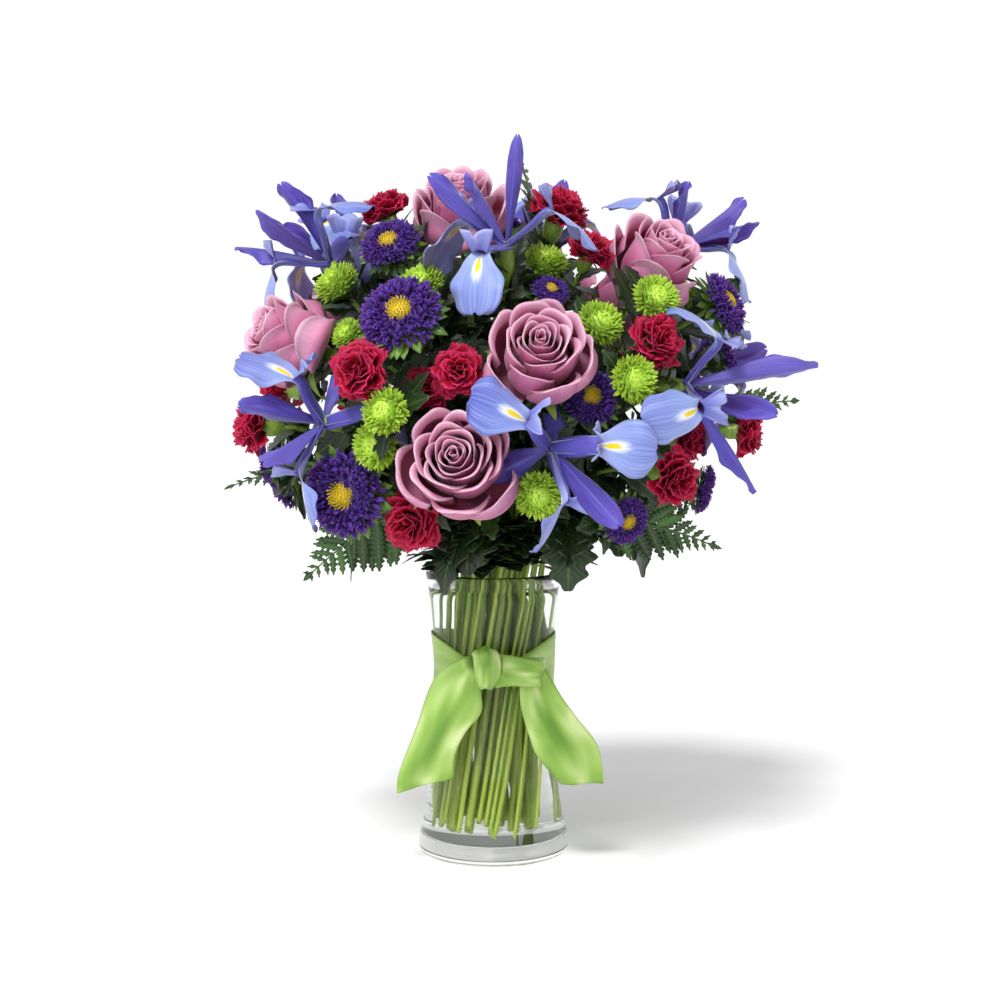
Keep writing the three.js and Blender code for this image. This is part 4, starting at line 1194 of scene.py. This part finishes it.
# %% Ways of the petals
# The front six flowers are given petal by petal, as (turn, lift) of each haft and blade, and of each standard
# with its length as a share of 66 mm. A third number is a standard's width in mm, where it is seen edge-on. The
# back four open evenly round their own axis, a little shorter, because they stand at the edge of the bunch.
HAFT, BLADE, STANDARD = 38 * MM, 38 * MM, 66 * MM
POSED = {
    "iris_1": ([((-60, 80), (82, 4)), ((-84, -4), (-100, -78)), ((168, 24), (178, -50))],
               [((-84, 58), 1), ((-62, 34), 1), ((-104, 10), 1.08)]),
    "iris_2": ([((86, 34), (76, -40)), ((-28, -12), (-30, -78)), ((-122, 22), (-104, -52))],
               [((60, 84), 1.12, 13), ((-62, 58), 0.86), ((-98, 42), 1.08)]),
    "iris_3": ([((-92, 68), (-112, -6)), ((78, -4), (70, -66)), ((172, 30), (-170, -30))],
               [((100, 36), 0.96), ((74, 18), 0.96), ((110, 78), 0.76)]),
    "iris_4": ([((76, 58), (-110, 34)), ((8, -22), (-76, -14)), ((152, -24), (-168, -46))],
               [((90, 8), 1.36), ((52, -14), 1.12), ((84, -56), 1.3)]),
    "iris_5": ([((-34, 32), (-74, 24)), ((62, 4), (108, -6)), ((24, -62), (-40, -50))],
               [((42, -36), 1.2), ((-96, -24), 0.7), ((160, 56), 0.7)]),
    "iris_6": ([((-62, 54), (-96, 20)), ((-48, -62), (40, -70)), ((78, 14), (130, -24))],
               [((-70, 12), 0.9), ((-44, -24), 0.88), ((160, 58), 0.7)]),
}


def iris_plan(node):
    bm = merged_copy(node)
    throat = max(bm.verts, key=lambda v: len(v.link_edges)).co.copy()
    line = stem_to(bm, "iris", throat)[0]
    facing = (throat - line[-3]).normalized()
    if node in POSED:
        falls, standards = POSED[node]
        falls = [(direction(*haft), direction(*blade)) for haft, blade in falls]
        standards = [(direction(*way), *sizes) for way, *sizes in standards]
    else:
        hafts = [at - throat for at, across in sections_of(bm, 1.4 * MM)
                 if across.length < 12 * MM and 15 * MM < (at - throat).length < 20 * MM]
        out = hafts[0] - facing * hafts[0].dot(facing)
        ways = [Matrix.Rotation(math.radians(60 * k), 3, facing) @ out.normalized() for k in range(6)]
        falls = [((w * 0.75 + facing * 0.66).normalized(), (w * 0.6 - facing * 0.8).normalized()) for w in ways[::2]]
        standards = [((w * 0.5 + facing * 0.87).normalized(), 0.84) for w in ways[1::2]]
    bm.free()
    return throat, facing, line[:-1] + [throat], falls, standards


# %% Iris petals
def fall_width(t):
    if t < 0.42:
        return (7.5 + 4 * t / 0.42) * MM
    if t < 0.74:
        return (11.5 + 27.5 * smoothly(t, 0.42, 0.74)) * MM
    return 39 * MM * math.sqrt(max(1 - ((t - 0.74) / 0.275) ** 2, 0.0)) ** 0.8


def iris_fall(bm, arms, throat, haft, blade, rng):
    knee = throat + haft * HAFT
    points = [throat, throat.lerp(knee, 0.55), knee, knee + blade * BLADE * 0.5 + haft * 4 * MM, knee + blade * BLADE]
    side = haft.cross(blade).normalized()
    p, q = rng.uniform(0, 6), rng.uniform(0, 6)

    def frame_at(t):
        ahead = tangent_of(points, t)
        return through(points, t), ahead.cross(side).normalized()

    def place(u, v):
        at, normal = frame_at(v)
        w = fall_width(v) / 2
        open_part = smoothly(v, 0.4, 0.62)
        ruffle = (2.3 * math.sin(14 * v + p + 2 * u) + 1.2 * math.sin(31 * v + q)) * MM * abs(u) ** 2.5 * open_part
        hollow = (0.6 * (1 - open_part) - 0.28 * open_part) * u * u * w + 0.9 * MM * open_part * abs(u)
        notch = (-1.4 * math.exp(-(u / 0.16) ** 2) + 0.5 * math.sin(9 * u + q)) * MM * smoothly(v, 0.9, 1.0)
        return at + side * (u * w) + normal * (hollow + ruffle) + tangent_of(points, v) * notch

    sheet(bm, 20, 34, place, chance=rng.random())

    def arm_place(u, v):
        t = 0.02 + 0.48 * min(v / 0.72, 1.0)
        at, normal = frame_at(t)
        crest = smoothly(v, 0.72, 1.0)
        ahead = tangent_of(points, 0.40)
        if v > 0.72:
            normal = frame_at(0.42)[1]
            at = through(points, 0.5)
        w = (5.6 + 1.4 * math.sin(math.pi * min(v / 0.72, 1))) * MM + 7.5 * MM * crest
        lift = (1.5 + 4.0 * math.sin(math.pi * 0.55 * min(v / 0.72, 1.0))) * MM
        upright = (v - 0.72) / 0.28 * 16 * MM if v > 0.72 else 0.0
        split = 5 * MM * crest * math.exp(-(u / 0.25) ** 2)
        frill = 2.0 * MM * crest * (math.sin(8 * u + p) + 0.5 * math.sin(19 * u + q))
        return at + side * (u * w) + normal * (lift + upright * 0.85 - split - 0.5 * w * u * u * (1 - crest)) \
            + ahead * (upright * 0.45 * (1 - 0.6 * abs(u)) + frill)

    sheet(arms, 14, 20, arm_place, chance=rng.random())


def iris_standard(bm, throat, facing, rng, way, share, wide=21):
    reach = STANDARD * share
    lean = throat + way * reach * 0.5 + facing * 7 * MM
    tip = throat + way * reach
    side = facing.cross(way).normalized()
    p, twist = rng.uniform(0, 6), rng.uniform(-1.3, 1.3)
    wide *= rng.uniform(0.9, 1.12) * MM

    def middle(t):
        return throat * (1 - t) ** 2 + lean * 2 * t * (1 - t) + tip * t ** 2

    def width(t):
        if t < 0.62:
            return wide * (0.3 + 0.7 * smoothly(t, 0.02, 0.62))
        return wide * math.sqrt(max(1 - ((t - 0.62) / 0.39) ** 2, 0.0))

    def place(u, v):
        ahead = (middle(min(v + 0.01, 1)) - middle(max(v - 0.01, 0))).normalized()
        c, s = math.cos(twist * v * v), math.sin(twist * v * v)
        normal = side.cross(ahead).normalized()
        across, up = side * c + normal * s, normal * c - side * s
        w = width(v) / 2
        fold = 0.75 * abs(u) ** 1.2 * w * (1 - 0.5 * smoothly(v, 0.6, 0.95))
        waves = 1.5 * math.sin(15 * v + p + 2 * u) + 0.7 * math.sin(37 * v + 3 * u)
        ruffle = waves * MM * abs(u) ** 2 * smoothly(v, 0.3, 0.7)
        notch = -2.5 * MM * math.exp(-(u / 0.22) ** 2) * smoothly(v, 0.93, 1.0)
        return middle(v) + across * (u * w * 0.78) + up * (fold + ruffle) + ahead * notch

    sheet(bm, 12, 26, place, chance=rng.random(), layer=rng.random())


for node in PLANT_NODES["iris"]:
    rng = random.Random(node)
    throat, facing, line, falls, standards = iris_plan(node)
    fall, arms, standing, stem, green = (new_mesh() for _ in range(5))
    for haft, blade in falls:
        iris_fall(fall, arms, throat, haft, blade, rng)
    for way, *sizes in standards:
        iris_standard(standing, throat, facing, rng, way, *sizes)
    stems(stem, [line], 3.0 * MM, rng)
    neck = [throat - facing * 32 * MM, throat - facing * 15 * MM, throat + facing * 1 * MM]
    tube(stem, neck, lambda t: (3.1 + 2.6 * math.sin(math.pi * t) ** 2 + 0.8 * t) * MM, 10, 14, chance=0.6)
    # Two papery green sheaths wrap the tube under the flower.
    right, over = square_to(facing)
    for turn in (0.4, 2.9):
        out = spoke(right, over, turn)
        strip(green, throat - facing * 52 * MM + out * 2.5 * MM, facing + out * 0.12, -out, 50 * MM, 15 * MM, bend=0.12,
              cup=0.5, columns=6, rows=12, chance=0.75)
    leaves_along(green, line, rng, 17)
    collar(green, line, rng, 4)
    new_piece(node + "_falls", fall, FALL_PETAL, "iris_petals", (node,), wall=0.4 * MM)
    new_piece(node + "_styles", arms, STYLE_ARM, "iris_petals", wall=0.5 * MM)
    new_piece(node + "_standards", standing, STANDARD_PETAL, "iris_petals", wall=0.4 * MM)
    green_pieces(node, stem, green)
print("irises:", len(PLANT_NODES["iris"]))

# %% [markdown]
# ## Floor, light and camera
# The vase stands on a plain white floor that runs into a white surround. For reflections the surround is dimmer
# overhead and in front, as a room behind a camera is, or its glare would lie like a veil over the glass. One soft
# key light high on the front left gives the flowers their shape and throws a shadow to the right and back, and a
# broad soft light at the front opens the shadows between them. The standard view transform keeps the colours as
# the materials give them.

# %% Stage
floor_mesh = bmesh.new()
bmesh.ops.create_grid(floor_mesh, x_segments=1, y_segments=1, size=6)
floor_data = bpy.data.meshes.new("floor")
floor_mesh.to_mesh(floor_data)
floor_mesh.free()
floor = in_scene("floor", floor_data)
floor_data.materials.append(new_look("white paper floor", Base_Color=colour("#f6f6f6"), Roughness=0.9,
                                     Specular_IOR_Level=0.1)[0])

world = bpy.data.worlds.new("white surround")
world.use_nodes = True
sky = world.node_tree
ways = add(sky, "SeparateXYZ", {"Vector": add(sky, "TexCoord").outputs["Generated"]}).outputs
overhead = ranged(sky, ways["Z"], from_min=0.16, from_max=0.6, to_min=1.04, to_max=0.8)
front = ranged(sky, ways["Y"], from_min=-0.5, from_max=0.3, to_min=0.38, to_max=1.0)
room = maths(sky, "MULTIPLY", overhead, front)
seen = maths(sky, "MULTIPLY", add(sky, "LightPath").outputs["Is Camera Ray"], 1.04)
glow = maths(sky, "MAXIMUM", room, seen)
sky.links.new(glow, sky.nodes["Background"].inputs["Strength"])
sky.nodes["Background"].inputs["Color"].default_value = (1, 1, 1, 1)
scene.world = world
scene.view_settings.view_transform = "Standard"

sun_data = bpy.data.lights.new("key light", "SUN")
sun_data.energy, sun_data.angle = 2.3, math.radians(14)
sun = in_scene("key light", sun_data)
sun.rotation_euler = direction(-20, 54).to_track_quat("Z", "Y").to_euler()

fill_data = bpy.data.lights.new("front light", "AREA")
fill_data.energy, fill_data.size = 18, 1.1
fill = in_scene("front light", fill_data)
fill.location = (-0.9, -2.1, 1.25)
fill.rotation_euler = (fill.location - Vector((0, 0, 0.3))).to_track_quat("Z", "Y").to_euler()

camera = in_scene("camera", bpy.data.cameras.new("camera"))
camera.location = (0.0046, -1.576, 0.394)
camera.rotation_euler = (math.radians(90 - 5.1), 0, 0)
camera.data.lens, camera.data.sensor_width = 80.1, 36
scene.camera = camera
